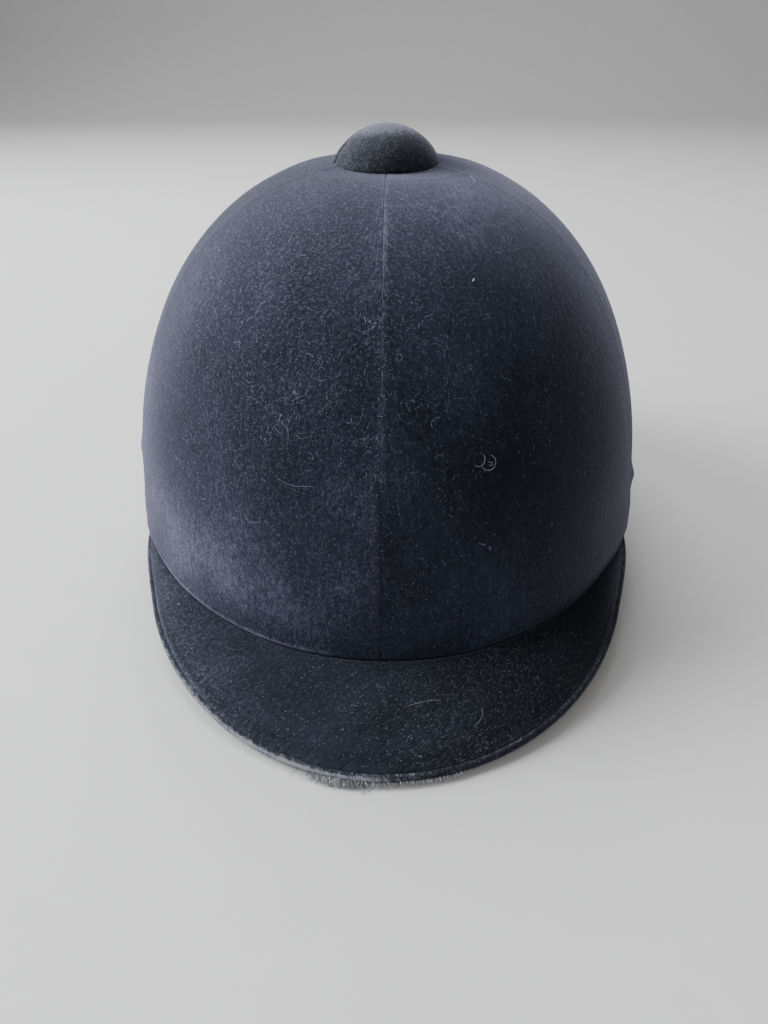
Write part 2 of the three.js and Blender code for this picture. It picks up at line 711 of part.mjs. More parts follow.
function addChinCup() {
  const halfLength = 24;
  const back = CHIN_Y - STRAP_THICKNESS / 2 - 0.4;
  const front = (x, thickness) => back - thickness - 2 * (x / halfLength) ** 2;
  const xs = azimuths(-halfLength, halfLength, 10);
  const crescent = (near, far, z) =>
    prism([...xs.map((x) => new THREE.Vector2(x, near(x))), ...xs.map((x) => new THREE.Vector2(-x, far(x)))], z);
  const plate = crescent((x) => front(x, 2.5), () => back, [1.5, 24.5]);
  const loopX = 16;
  const loops = [-loopX, loopX].map((x) => box([x - 2.5, x + 2.5], [back - 0.5, 76.5], [1.7, 20.3]));
  const passages = [-loopX, loopX].map((x) => box([x - 4, x + 4], [back, 75.1], [3.1, 18.9]));
  add("chin_cup", cut(join(plate, ...loops), ...passages), PLASTIC, harness);
  const pad = crescent((x) => front(x, 7.8), (x) => front(x, 2.8), [2.5, 23.5]);
  add("chin_cup_pad", pad, SOFT_FOAM, harness);
}

// ---- Rear bow ----

function addBow() {
  const ribbon = 0.8;
  [LEFT, RIGHT].forEach((side) => {
    const outline = new THREE.Path()
      .moveTo(3.8, 127)
      .bezierCurveTo(12, 127, 20, 125, 25, 125.2)
      .bezierCurveTo(29, 126, 28, 129.4, 23, 129.4)
      .bezierCurveTo(17, 129.6, 10, 130.8, 3.8, 129.6);
    const line = outline.getPoints(6).map((point) => new THREE.Vector2(side * point.x, point.y));
    add(`bow_loop_${sideName(side)}`, prism(ribbonOutline(line, ribbon), [7, 19]), RIBBON);
    const tailPoints = [[0.4, 5.7], [5.5, 5.7], [12.5, 1.6], [9.5, 0.6], [6, 0.8]];
    const tailShape = tailPoints.map(([x, z]) => new THREE.Vector2(side * x, z));
    const tailRibbon = prism(tailShape, [0, ribbon]).rotateX(Math.PI / 2).translate(0, 127.4, 0);
    add(`bow_tail_${sideName(side)}`, tailRibbon, RIBBON);
  });
  const knotPoints = [[-3.2, 126.4], [3.2, 126.4], [3.2, 130.2], [1.8, 131.4], [-1.8, 131.4], [-3.2, 130.2]];
  const knot = prism(knotPoints.map(([x, y]) => new THREE.Vector2(x, y)), [6, 20]);
  add("bow_knot", knot, RIBBON);
}

addShell();
addVelvet();
addLiner();
addRimTrim();
addInterior();
addButton();
addPeak();
addHangers();
addStraps();
addBuckle();
addSlider();
addChinCup();
addBow();

// The origin is the middle of the footprint, on the surface that the hat stands on.
const extent = new THREE.Box3().setFromObject(hat);
hat.position.y = -(extent.min.y + extent.max.y) / 2;

export default hat;
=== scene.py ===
"""A velvet riding hat: its cloth, seams, lint, lining and harness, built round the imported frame.

Lengths below are in millimetres, in the hat's own plan: +Z up, the peak along -Y, the wearer's
left along +X, and the crown's axis at x = y = 0. Meshes are made in metres, moved by ORIGIN to
the row's frame.
"""
import math

import bmesh
import bpy
import numpy as np
from mathutils import Matrix, Vector


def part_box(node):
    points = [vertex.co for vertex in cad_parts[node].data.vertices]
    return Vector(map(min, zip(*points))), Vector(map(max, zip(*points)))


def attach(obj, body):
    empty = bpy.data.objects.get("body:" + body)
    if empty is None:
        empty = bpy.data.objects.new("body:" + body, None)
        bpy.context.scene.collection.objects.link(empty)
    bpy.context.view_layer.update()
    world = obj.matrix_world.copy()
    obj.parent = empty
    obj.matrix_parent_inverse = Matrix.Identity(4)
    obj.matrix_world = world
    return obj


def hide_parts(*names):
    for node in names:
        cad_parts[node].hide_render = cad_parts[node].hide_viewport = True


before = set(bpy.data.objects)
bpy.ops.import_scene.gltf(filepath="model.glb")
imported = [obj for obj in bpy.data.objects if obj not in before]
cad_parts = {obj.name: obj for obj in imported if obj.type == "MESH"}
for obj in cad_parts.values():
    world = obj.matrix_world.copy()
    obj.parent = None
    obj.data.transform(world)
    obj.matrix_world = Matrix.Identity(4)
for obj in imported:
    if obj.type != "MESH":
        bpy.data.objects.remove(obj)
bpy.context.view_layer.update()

MM = 0.001
button_low, button_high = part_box("button_cover")
ORIGIN = np.array([0.0, (button_low.y + button_high.y) / 2, 0.0])  # the crown's axis

# ---- Dimensions, mm ----

# The crown is a superellipse in plan and in profile, widest a little above the rim.
HALF_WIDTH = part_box("velvet_side_left")[1].x / MM
FRONT_REACH = 116.4  # from the axis
REAR_REACH = 125.5
PLAN_POWER = 2.3
WIDEST_Z = 16.8
CROWN_TOP = 152.0
CROWN_RISE = CROWN_TOP - WIDEST_Z
ROUND_POWER = 2.57
RISE_POWER = 2.38
RIM_TUCK = 0.1  # the share it narrows by, TUCK_DROP below its widest line
TUCK_DROP = 60.0

# The rim is low in front, high at the sides and on the ground at the rear.
RIM_FRONT_Z = 6.0
RIM_SIDE_Z = 22.0
SIDE_START = 70.0  # degrees from the front
SIDE_END = 115.0
REAR_START = 156.0
TRIM_HEIGHT = 1.2
TRIM_STITCHES = (4.4, 20.2)  # depths of the rim trim's two rows of stitches

SEAMS = (-180, -120, -60, 0, 60, 120, 180)  # azimuths of the crown's seams, degrees
SEAM_ROLL = {"middle": 0.42, "side": 0.24}
HEM_ROLL = 1.1
VELVET_THICKNESS = 1.0
COVER_THICKNESS = 0.9  # the velvet over the peak and the button
SEAM_END = 0.978  # station where the panels stop, under the button
BUTTON_SINK = 1.3  # how far the button is pulled down into the padding
BUTTON_TUCK = math.radians(285.5)  # where its cloth is tucked, on the wearer's right

PEAK_CORNER = 58.4  # degrees from the front
PEAK_CREASE_END = 63.0  # degrees from the front
PEAK_CORNER_Y = -57.2
PEAK_HALF_WIDTH = 90.0
PEAK_REACH = 101.4
PEAK_PLAN_POWER = 1.045
PEAK_LEAN = 0.02  # the old peak has spread a little to the wearer's left
PEAK_EDGE_Z = 2.15  # its edge's height in front
PEAK_EDGE_RISE = 20.4  # from there to its corners
PEAK_RISE_POWER = 1.42
PEAK_BULGE = 1.5
PEAK_SEAT = 4.8  # height of its top at the crown, over the rim
PEAK_FLARE = (3.5, 2.2)  # how far its corners run out and back round the crown
EDGE_RADIUS = 1.45
EDGE_TIP_RADIUS = 1.1

LINER_FACE = 21.75  # depth of the foam liner's inner face
CUSHION_REACH = 0.335  # the crown pad's share of the crown's width
SWEATBAND_TOP = 0.172  # station
SWEATBAND_STITCHES = 0.155  # station

SIDES = {"left": 1, "right": -1}
# The harness at rest lies folded inside the rim. Each strap leaves its pivot, goes back along a
# straight run and bends round the chin's centre.
STRAP_X = 90.7
PIVOT = (-24.0, 11.0)  # y and z
STRAP_THICKNESS = 1.4
STRAP_Z = (3.5, 18.5)
RUN_START_Y = -14.0
CHIN_CENTRE = np.array([26.0, 34.0])  # x on the left side, and y
CHIN_BEND = 40.0  # radius
TURN_RADIUS = 2.5  # of a strap's turn round a bar
TAIL_OFFSET = 1.75  # from a strap's middle to its tail's
SEWN_FACE = TAIL_OFFSET + 0.72
BARS = {"buckle": 12.0, "buckle_rear": 38.5, "slider": 12.0, "slider_rear": 24.0}  # along the run
HANGER_X = (92.1, 93.6)
HANGER_Z = (4.0, 49.0)
RIVET_X = {"inner": 88.4, "outer": 95.1}
CUP_Z = 13.0  # the chin cup's middle
BRIDGE_Y = 76.5  # the outer face of the bridges that hold the cup on its strap
BOW_TAIL_Y = 128.2
KNOT_MIDDLE = (0, 128.8)  # x and y
BOW_Z = 13

# Camera, from the hat's own plan.
CAMERA_PLACE = (6.28, -314.1, 191.5)
CAMERA_PITCH = 31.6  # degrees down
CAMERA_YAW = -1.49
CAMERA_ROLL = -0.34
CAMERA_LENS = 27.2  # on a 36 mm sensor along the picture's long side


# ---- Numbers ----

def smoothstep(value, low, high):
    share = np.clip((np.asarray(value, float) - low) / (high - low), 0, 1)
    return share * share * (3 - 2 * share)


def bell(value, middle, width):
    """1 at the middle, and near 0 beyond two widths from it."""
    return np.exp(-(((value - middle) / width) ** 2))


def unit(vectors):
    return vectors / np.maximum(np.linalg.norm(vectors, axis=-1, keepdims=True), 1e-9)


def lengths_along(points, axis=0):
    """Running length along one axis of a grid of points."""
    steps = np.linalg.norm(np.diff(points, axis=axis), axis=-1)
    start_shape = list(steps.shape)
    start_shape[axis] = 1
    return np.concatenate([np.zeros(start_shape), np.cumsum(steps, axis=axis)], axis=axis)


def resample(line, spacing):
    line = np.asarray(line, float)
    run = lengths_along(line)
    marks = np.linspace(0, run[-1], max(int(round(run[-1] / spacing)), 2) + 1)
    return np.stack([np.interp(marks, run, line[:, i]) for i in range(line.shape[1])], -1)


def resample_closed(outline, spacing):
    return resample(np.vstack([outline, outline[:1]]), spacing)[:-1]


def eased(line, passes=3):
    """A line with its corners cut, ends kept."""
    line = np.asarray(line, float)
    for _ in range(passes):
        pairs = np.concatenate([0.75 * line[:-1] + 0.25 * line[1:], 0.25 * line[:-1] + 0.75 * line[1:]], 1)
        line = np.concatenate([line[:1], pairs.reshape(-1, line.shape[1]), line[-1:]])
    return line


def rounded_section(width, height, radius, per_corner=5):
    """A rectangle with rounded corners, as points round its middle."""
    points = []
    for corner, (x, y) in enumerate([(1, 1), (-1, 1), (-1, -1), (1, -1)]):
        angle = np.radians(np.linspace(90 * corner, 90 * corner + 90, per_corner))
        points.append(np.stack([x * (width / 2 - radius) + radius * np.cos(angle),
                                y * (height / 2 - radius) + radius * np.sin(angle)], -1))
    return np.concatenate(points)


def around(count):
    """Angles of a ring's points, in radians."""
    return np.linspace(0, 2 * np.pi, count, endpoint=False)


# ---- Meshes ----

def to_frame(points):
    return np.asarray(points, float) * MM + ORIGIN


def plan_points(piece):
    """A piece's vertices in the hat's plan."""
    return (np.array([vertex.co for vertex in piece.data.vertices]) - ORIGIN) / MM


def make_object(name, points, faces, paint, replaced=(), body="hat"):
    """A mesh object from points in the hat's plan, riding on a body."""
    mesh = bpy.data.meshes.new(name)
    mesh.from_pydata(to_frame(points).reshape(-1, 3).tolist(), [], [list(face) for face in faces])
    return place(name, mesh, paint, replaced, body)


def place(name, mesh, paint, replaced, body):
    mesh.validate()
    mesh.polygons.foreach_set("use_smooth", [True] * len(mesh.polygons))
    mesh.materials.append(paint[0])
    mesh.update()
    piece = bpy.data.objects.new(name, mesh)
    bpy.context.scene.collection.objects.link(piece)
    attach(piece, body)
    if replaced:
        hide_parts(*replaced)
    return piece


def grid_faces(rows, columns, wrap=False, wrap_rows=False):
    row = np.arange(rows if wrap_rows else rows - 1)[:, None]
    column = np.arange(columns if wrap else columns - 1)[None, :]
    next_row, next_column = (row + 1) % rows, (column + 1) % columns
    corners = [row * columns + column, row * columns + next_column,
               next_row * columns + next_column, next_row * columns + column]
    return np.stack(corners, -1).reshape(-1, 4)


def add_uv(piece, uv):
    """One (u, v) in millimetres for each vertex, stored in metres."""
    mesh = piece.data
    layer = mesh.uv_layers.new(name="UVMap")
    corner_vertex = np.zeros(len(mesh.loops), np.int32)
    mesh.loops.foreach_get("vertex_index", corner_vertex)
    layer.data.foreach_set("uv", (np.asarray(uv).reshape(-1, 2) * MM)[corner_vertex].ravel())


def add_attribute(piece, name, values):
    attribute = piece.data.attributes.new(name, "FLOAT", "POINT")
    attribute.data.foreach_set("value", np.asarray(values, np.float32).ravel())


def add_pile(piece, pile_and_light, dust):
    """How pale velvet is at each vertex, from brushed pile and from painted light and shade, and how dusty it
    is.
    """
    add_attribute(piece, "pile_and_light", pile_and_light)
    add_attribute(piece, "dust", dust)


def face_out(piece):
    """Turns a closed piece's faces outwards."""
    shape = bmesh.new()
    shape.from_mesh(piece.data)
    bmesh.ops.recalc_face_normals(shape, faces=shape.faces)
    shape.to_mesh(piece.data)
    shape.free()
    return piece


def thicken(piece, thickness, offset=-1.0):
    solid = piece.modifiers.new("thickness", "SOLIDIFY")
    solid.thickness = thickness * MM
    solid.offset = offset


def sheet(name, points, thickness, paint, node, wrap=False, flip=False, offset=-1.0):
    """Cloth, leather or board over a grid of points."""
    faces = grid_faces(*points.shape[:2], wrap=wrap)
    piece = make_object(name, points, faces[:, ::-1] if flip else faces, paint, [node])
    thicken(piece, thickness, offset)
    return piece


def loft(name, rings, paint, replaced=(), body="hat"):
    """A closed solid through rings of points, with a flat end on the first and last."""
    count, sides, _ = rings.shape
    faces = grid_faces(count, sides, wrap=True).tolist()
    faces += [list(range(sides)), [(count - 1) * sides + i for i in range(sides)]]
    return face_out(make_object(name, rings, faces, paint, replaced, body))


def turned(name, profile, centre, axis, paint, replaced=(), sides=48):
    """A solid of revolution from (radius, height) pairs up a level axis."""
    profile, centre, axis = (np.array(values, float) for values in (profile, centre, axis))
    side = unit(np.cross(axis, [0.3, 0.2, 1.0]))
    turn = around(sides)[:, None]
    ring = side * np.cos(turn) + np.cross(axis, side) * np.sin(turn)
    radius, height = profile[:, :1, None], profile[:, 1:, None]
    return loft(name, radius * ring + height * axis + centre, paint, replaced)


def ribbon(name, line, z_range, thickness, paint, replaced, body="hat", waviness=0.0):
    """Webbing on edge: a strip along a line in plan, with soft edges."""
    line = resample(line, 0.7)
    along = unit(np.gradient(line, axis=0))
    out = np.stack([-along[:, 1], along[:, 0]], -1)
    low, high = z_range
    section = rounded_section(thickness, high - low, thickness * 0.46, 4)
    run = lengths_along(line)
    wave = waviness * np.sin(run[:, None] / 5.3 + section[None, :, 1] / 6)
    plan = line[:, None] + out[:, None] * (section[None, :, :1] + wave[..., None])
    z = np.broadcast_to((low + high) / 2 + section[:, 1], plan.shape[:2])
    piece = loft(name, np.concatenate([plan, z[..., None]], -1), paint, replaced, body)
    add_uv(piece, np.stack([z, np.broadcast_to(run[:, None], z.shape)], -1))
    return piece


def slab(name, outline, face, thickness, radius, paint, replaced=(), body="hat"):
    """A flat piece: an outline in two parameters, set in space by face(u, v, depth)."""
    outline = np.asarray(outline, float)
    edge = np.roll(outline, -1, 0) - np.roll(outline, 1, 0)
    inward = unit(np.stack([-edge[:, 1], edge[:, 0]], -1))
    area = np.sum(outline[:, 0] * np.roll(outline[:, 1], -1) - np.roll(outline[:, 0], -1) * outline[:, 1])
    inward *= np.sign(area)
    rings = []
    quarter = np.radians(np.linspace(0, 90, 5))
    bends = [(radius * (1 - np.sin(a)), radius * (1 - np.cos(a))) for a in quarter]
    for inset, depth in bends + [(i, thickness - d) for i, d in reversed(bends)]:
        flat = outline + inward * inset
        rings.append(face(flat[:, 0], flat[:, 1], depth))
    return loft(name, np.stack(rings), paint, replaced, body)


def softened(name, node, bevel, body, paint):
    """A CAD piece copied with rounded edges."""
    shape = bmesh.new()
    shape.from_mesh(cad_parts[node].data)
    bmesh.ops.remove_doubles(shape, verts=shape.verts, dist=1e-6)
    bmesh.ops.dissolve_limit(shape, angle_limit=math.radians(2), verts=shape.verts, edges=shape.edges)
    edges = [e for e in shape.edges if len(e.link_faces) == 2 and e.calc_face_angle(0) > math.radians(28)]
    bmesh.ops.bevel(shape, geom=edges, offset=bevel * MM, segments=3, profile=0.5, affect="EDGES",
                    clamp_overlap=True)
    mesh = bpy.data.meshes.new(name)
    shape.to_mesh(mesh)
    shape.free()
    place(name, mesh, paint, [node], body)
    mesh.set_sharp_from_angle(angle=math.radians(40))


def spines_to_mesh(spines, radii, sides=3, tapered=True):
    """Closed thin rods along rows of points, which can taper to their ends."""
    count, steps, _ = spines.shape
    along = unit(np.gradient(spines, axis=1))
    helper = np.where(np.abs(along[..., 2:3]) < 0.9, [[[0, 0, 1.0]]], [[[1.0, 0, 0]]])
    first = unit(np.cross(along, helper))
    second = np.cross(along, first)
    turn = around(sides)[:, None]
    sizes = [0.7, 1, 1, 0.4] if tapered else [1, 1, 1, 1]
    taper = np.interp(np.linspace(0, 1, steps), [0, 0.15, 0.8, 1], sizes)
    reach = (np.asarray(radii)[:, None] * taper)[..., None, None]
    ring = (first[:, :, None] * np.cos(turn) + second[:, :, None] * np.sin(turn)) * reach
    points = spines[:, :, None] + ring
    base = grid_faces(steps, sides, wrap=True)
    ends = [list(range(sides))[::-1], [(steps - 1) * sides + i for i in range(sides)]]
    faces = []
    for first_corner in range(0, count * steps * sides, steps * sides):
        faces += (base + first_corner).tolist()
        faces += [[corner + first_corner for corner in end] for end in ends]
    return points.reshape(-1, 3), faces


def stitches(name, line, normals, paint, pitch=3.2, length=2.2, radius=0.22, body="hat"):
    """A row of thread stitches along a line of points, each lying on the surface."""
    line = np.asarray(line, float)
    normals = np.broadcast_to(normals, line.shape)
    run = lengths_along(line)
    starts = np.arange(pitch / 2, run[-1] - length, pitch)
    share = np.linspace(0, 1, 6)
    marks = starts[:, None] + length * share
    at = lambda values: np.stack([np.interp(marks, run, values[:, i]) for i in range(3)], -1)
    lift = radius * (1.5 * np.sin(np.pi * share) - 0.6)
    spines = at(line) + unit(at(normals)) * lift[None, :, None]
    points, faces = spines_to_mesh(spines, np.full(len(starts), radius), 6)
    make_object(name, points, faces, paint, body=body)


# ---- Materials ----

class Paint:
    """A Principled material, with short ways to add the nodes that feed it."""

    def __init__(self, name, roughness=0.8, metallic=0.0, specular=0.5, sheen=None):
        self.material = bpy.data.materials.new(name)
        self.material.use_nodes = True
        self.tree = self.material.node_tree
        self.shader = self.tree.nodes["Principled BSDF"]
        values = {"Roughness": roughness, "Metallic": metallic, "Specular IOR Level": specular}
        if sheen:
            weight, spread, tint = sheen
            values.update({"Sheen Weight": weight, "Sheen Roughness": spread, "Sheen Tint": (*tint, 1)})
        for socket, value in values.items():
            self.shader.inputs[socket].default_value = value

    def node(self, kind, inputs=None, output=0, **settings):
        node = self.tree.nodes.new("ShaderNode" + kind)
        for setting, value in settings.items():
            setattr(node, setting, value)
        for key, value in (inputs or {}).items():
            if isinstance(value, bpy.types.NodeSocket):
                self.tree.links.new(value, node.inputs[key])
            else:
                node.inputs[key].default_value = value
        return node.outputs[output]

    def coordinates(self, kind="Object"):
        return self.node("TexCoord", output={"UV": 2, "Object": 3}[kind])

    def attribute(self, name):
        return self.node("Attribute", attribute_name=name, output=2)

    def stretch(self, vector, *scales):
        return self.node("VectorMath", {0: vector, 1: scales}, operation="MULTIPLY")

    def noise(self, vector, scale=1.0, detail=2.0, roughness=0.5):
        inputs = {"Vector": vector, "Scale": scale, "Detail": detail, "Roughness": roughness}
        return self.node("TexNoise", inputs)

    def cells(self, vector, scale):
        """The distance from scattered middles, and a random colour round each."""
        distance = self.node("TexVoronoi", {"Vector": vector, "Scale": scale})
        return distance, distance.node.outputs[1]

    def math(self, operation, a, b=0.0):
        return self.node("Math", {0: a, 1: b}, operation=operation)

    def span(self, value, low, high, to_low=0.0, to_high=1.0):
        inputs = {"Value": value, "From Min": low, "From Max": high, "To Min": to_low, "To Max": to_high}
        return self.node("MapRange", inputs)

    def mix(self, share, a, b):
        """Colour a where share is 0, b where it is 1."""
        as_color = lambda c: c if isinstance(c, bpy.types.NodeSocket) else (*c, 1)
        inputs = {0: share, 6: as_color(a), 7: as_color(b)}
        return self.node("Mix", inputs, output=2, data_type="RGBA")

    def feed(self, socket, value):
        self.tree.links.new(value, self.shader.inputs[socket])

    def shades(self, share, color, low, high):
        """One colour, from low to high times its brightness."""
        low_color, high_color = (tuple(size * c for c in color) for size in (low, high))
        self.feed("Base Color", self.mix(share, low_color, high_color))

    def bump(self, height, distance, strength=1.0):
        inputs = {"Height": height, "Distance": distance * MM, "Strength": strength}
        self.feed("Normal", self.node("Bump", inputs))


def velvet(name, slot_name, dark, mid, pale, coordinates="UV"):
    """Cut pile: a deep colour, paler where the pile is brushed over and where light and shade are painted in,
    with grain and dust.
    """
    paint = Paint(name, roughness=0.9, specular=0.2, sheen=(0.34, 0.4, (0.67, 0.68, 0.89)))
    at = paint.coordinates(coordinates)
    dustiness = paint.attribute("dust")
    grain = paint.noise(paint.stretch(at, 2400, 800, 2400), detail=3, roughness=0.6)
    tufts = paint.noise(paint.stretch(at, 700, 260, 700))
    clouds = paint.noise(paint.stretch(at, 42, 24, 42), detail=4, roughness=0.55)
    # brushed is the pile's paleness with its painted light and shade, plus random grain and clouds.
    brushed = paint.attribute("pile_and_light")
    for pattern, reach in ((clouds, 0.17), (tufts, 0.15), (grain, 0.27)):
        brushed = paint.math("ADD", brushed, paint.span(pattern, 0.3, 0.7, -reach, reach))
    low = paint.mix(paint.span(brushed, 0.0, 0.5), dark, mid)
    cloth = paint.mix(paint.span(brushed, 0.5, 1.0), low, pale)

    distance, cell_color = paint.cells(at, 1300.0)
    near = paint.span(distance, 0.26, 0.12)
    chosen = paint.node("SeparateColor", {0: cell_color})
    limit = paint.math("SUBTRACT", 1.0, paint.math("MULTIPLY", dustiness, 0.5))
    speck = paint.math("MULTIPLY", near, paint.math("GREATER_THAN", chosen, limit))
    haze = paint.math("MULTIPLY", paint.span(paint.noise(at, 900, 3, 0.7), 0.52, 0.78), dustiness)
    speck = paint.math("MAXIMUM", paint.math("MULTIPLY", speck, 0.6), paint.math("MULTIPLY", haze, 0.34))
    paint.feed("Base Color", paint.mix(speck, cloth, (0.3, 0.31, 0.34)))
    paint.bump(paint.math("ADD", grain, paint.math("MULTIPLY", tufts, 0.8)), 0.35, 0.55)
    return paint.material, slot_name


def fibre(name, slot_name, color, shaded=False):
    """Loose fibre or thread; if shaded, a "shade" attribute varies it from fibre to fibre."""
    paint = Paint(name, roughness=0.7, sheen=(0.2, 0.4, (1, 1, 1)))
    speckle = paint.noise(paint.coordinates(), 300, 2)
    if shaded:
        paint.shades(paint.math("MULTIPLY", speckle, paint.attribute("shade")), color, 0.1, 1.9)
    else:
        paint.shades(speckle, color, 0.5, 1.4)
    paint.bump(speckle, 0.02)
    return paint.material, slot_name


def leather(name, color):
    paint = Paint(name, roughness=0.55, specular=0.45)
    at = paint.coordinates()
    pores, _ = paint.cells(at, 900.0)
    creases = paint.noise(at, 160, 5, 0.6)
    paint.shades(paint.span(creases, 0.3, 0.7), color, 0.55, 1.35)
    paint.feed("Roughness", paint.span(creases, 0.3, 0.7, 0.62, 0.42))
    paint.bump(paint.math("ADD", pores, creases), 0.18, 0.6)
    return paint.material, "trim_leather"


def woven(name, slot_name, color, warp, weft, roughness=0.8, sheen=0.3):
    """Ribs across and along, from UVs in metres; warp and weft are pitches in mm."""
    paint = Paint(name, roughness=roughness, sheen=(sheen, 0.4, (0.8, 0.85, 1)))
    across = paint.node("SeparateXYZ", {0: paint.coordinates("UV")})
    along = across.node.outputs[1]
    ridge = lambda value, pitch: paint.math("SINE", paint.math("MULTIPLY", value, 2 * math.pi / (pitch * MM)))
    ribs = paint.span(paint.math("ADD", ridge(across, warp), ridge(along, weft)), -2, 2)
    fuzz = paint.noise(paint.coordinates(), 1400, 3, 0.6)
    shade = paint.math("ADD", paint.math("MULTIPLY", ribs, 0.7), paint.math("MULTIPLY", fuzz, 0.4))
    paint.shades(shade, color, 0.4, 1.5)
    paint.bump(shade, 0.3, 0.7)
    return paint.material, slot_name


def grained(name, slot_name, color, roughness, scale, depth, metallic=0.0):
    """Moulded or brushed material with a fine grain and uneven gloss."""
    paint = Paint(name, roughness=roughness, metallic=metallic)
    at = paint.coordinates()
    fine = paint.noise(at, scale, 4, 0.6)
    broad = paint.noise(at, 70, 4, 0.6)
    paint.shades(broad, color, 0.75, 1.2)
    paint.feed("Roughness", paint.span(broad, 0.3, 0.7, roughness - 0.1, roughness + 0.1))
    paint.bump(fine, depth, 0.5)
    return paint.material, slot_name


def knitted(name, slot_name, color):
    """Fine brushed cloth over padding."""
    paint = Paint(name, roughness=0.85, sheen=(0.4, 0.45, (0.85, 0.88, 1)))
    at = paint.coordinates()
    threads, _ = paint.cells(at, 1300.0)
    fuzz = paint.noise(at, 500, 4, 0.65)
    shade = paint.math("ADD", paint.math("MULTIPLY", threads, 0.5), paint.math("MULTIPLY", fuzz, 0.6))
    paint.shades(shade, color, 0.5, 1.5)
    paint.bump(shade, 0.25, 0.6)
    return paint.material, slot_name


def beaded_foam(name, slot_name):
    paint = Paint(name, roughness=0.75, specular=0.3)
    beads, _ = paint.cells(paint.coordinates(), 330.0)
    paint.feed("Base Color", paint.mix(paint.span(beads, 0.3, 0.6), (0.72, 0.71, 0.68), (0.5, 0.49, 0.46)))
    paint.bump(beads, -0.5, 0.6)
    return paint.material, slot_name


# ---- The crown's surface ----

def from_front(azimuth):
    return np.abs((np.asarray(azimuth, float) + 180) % 360 - 180)


def plan_radius(azimuth):
    angle = np.radians(azimuth)
    reach = np.where(np.cos(angle) > 0, FRONT_REACH, REAR_REACH)
    across = np.abs(np.sin(angle) / HALF_WIDTH) ** PLAN_POWER
    return (across + np.abs(np.cos(angle) / reach) ** PLAN_POWER) ** (-1 / PLAN_POWER)


def width_share(z):
    rise = np.clip((z - WIDEST_Z) / CROWN_RISE, 0, 1)
    above = np.maximum(1 - rise ** RISE_POWER, 0) ** (1 / ROUND_POWER)
    return np.where(z < WIDEST_Z, 1 - RIM_TUCK * ((z - WIDEST_Z) / TUCK_DROP) ** 2, above)


def height_at_width(share):
    """Height at which the crown is this share of its full width."""
    return WIDEST_Z + CROWN_RISE * (1 - np.asarray(share) ** ROUND_POWER) ** (1 / RISE_POWER)


def crown_field(x, y, z):
    reach = np.hypot(x, y) / plan_radius(np.degrees(np.arctan2(x, -y)))
    rise = np.maximum(z - WIDEST_Z, 0) / CROWN_RISE
    return reach ** ROUND_POWER + rise ** RISE_POWER - 1


def crown_normal(points):
    step = 0.01
    x, y, z = np.moveaxis(points, -1, 0)
    slopes = [crown_field(x + step, y, z) - crown_field(x - step, y, z),
              crown_field(x, y + step, z) - crown_field(x, y - step, z),
              crown_field(x, y, z + step) - crown_field(x, y, z - step)]
    return unit(np.stack(slopes, -1))


def crown(azimuth, z, depth=0.0):
    """Points at a depth below the crown's outer surface."""
    azimuth, z, depth = np.broadcast_arrays(azimuth, np.asarray(z, float), np.asarray(depth, float))
    radius = plan_radius(azimuth) * width_share(z)
    angle = np.radians(azimuth)
    points = np.stack([radius * np.sin(angle), -radius * np.cos(angle), z], -1)
    return points - depth[..., None] * crown_normal(points)


def rim_height(azimuth):
    angle = from_front(azimuth)
    front = RIM_FRONT_Z + (RIM_SIDE_Z - RIM_FRONT_Z) * smoothstep(angle, 0, SIDE_START)
    rear = RIM_SIDE_Z * (1 - smoothstep(angle, SIDE_END, REAR_START))
    return np.where(angle < SIDE_END, front, rear)


def station_height(azimuth, station):
    """Height on the crown from the top of the rim's trim (0) to the crown's top (1)."""
    start = rim_height(azimuth) + TRIM_HEIGHT + 0.3
    return start + (CROWN_TOP - start) * np.sin(station * np.pi / 2)


def fullness(points):
    """How far the padding lifts the cloth round and behind the button."""
    away = np.hypot(points[..., 0], points[..., 1] - 12)
    raised = 1.4 * bell(away, 24, 22) * smoothstep(points[..., 1], -16, 4)
    pressed = 1.3 * bell(np.hypot(points[..., 0] / 20, (points[..., 1] + 19) / 12), 0, 1)
    return (raised - pressed) * smoothstep(points[..., 2], 120, 140)


def side_fullness(azimuth, z):
    """How far the cloth bellies out over the peak's corners and over a rivet's head on each side."""
    left = np.asarray(azimuth) > 0
    turn = from_front(azimuth)
    spot = lambda across, up: np.exp(-(across ** 2 + up ** 2))
    corner = np.where(left, 1.35, 0.9) * spot((turn - 62) / 13, (z - 30) / 9.5)
    head = np.where(left, 1.35, 0.7) * spot((turn - 66) / 2.6, (z - np.where(left, 43.5, 55)) / 3.2)
    return corner + head


def gentle_waves(points, seed):
    """A smooth random swell between about -1 and 1, for the softness of glued cloth."""
    random = np.random.default_rng(seed)
    total = np.zeros(points.shape[:-1])
    for _ in range(7):
        direction = random.normal(size=3)
        direction *= random.uniform(0.04, 0.16) / np.linalg.norm(direction)
        total += np.sin(points @ direction + random.uniform(0, 6.28))
    return total / 3


# ---- Crown panels ----

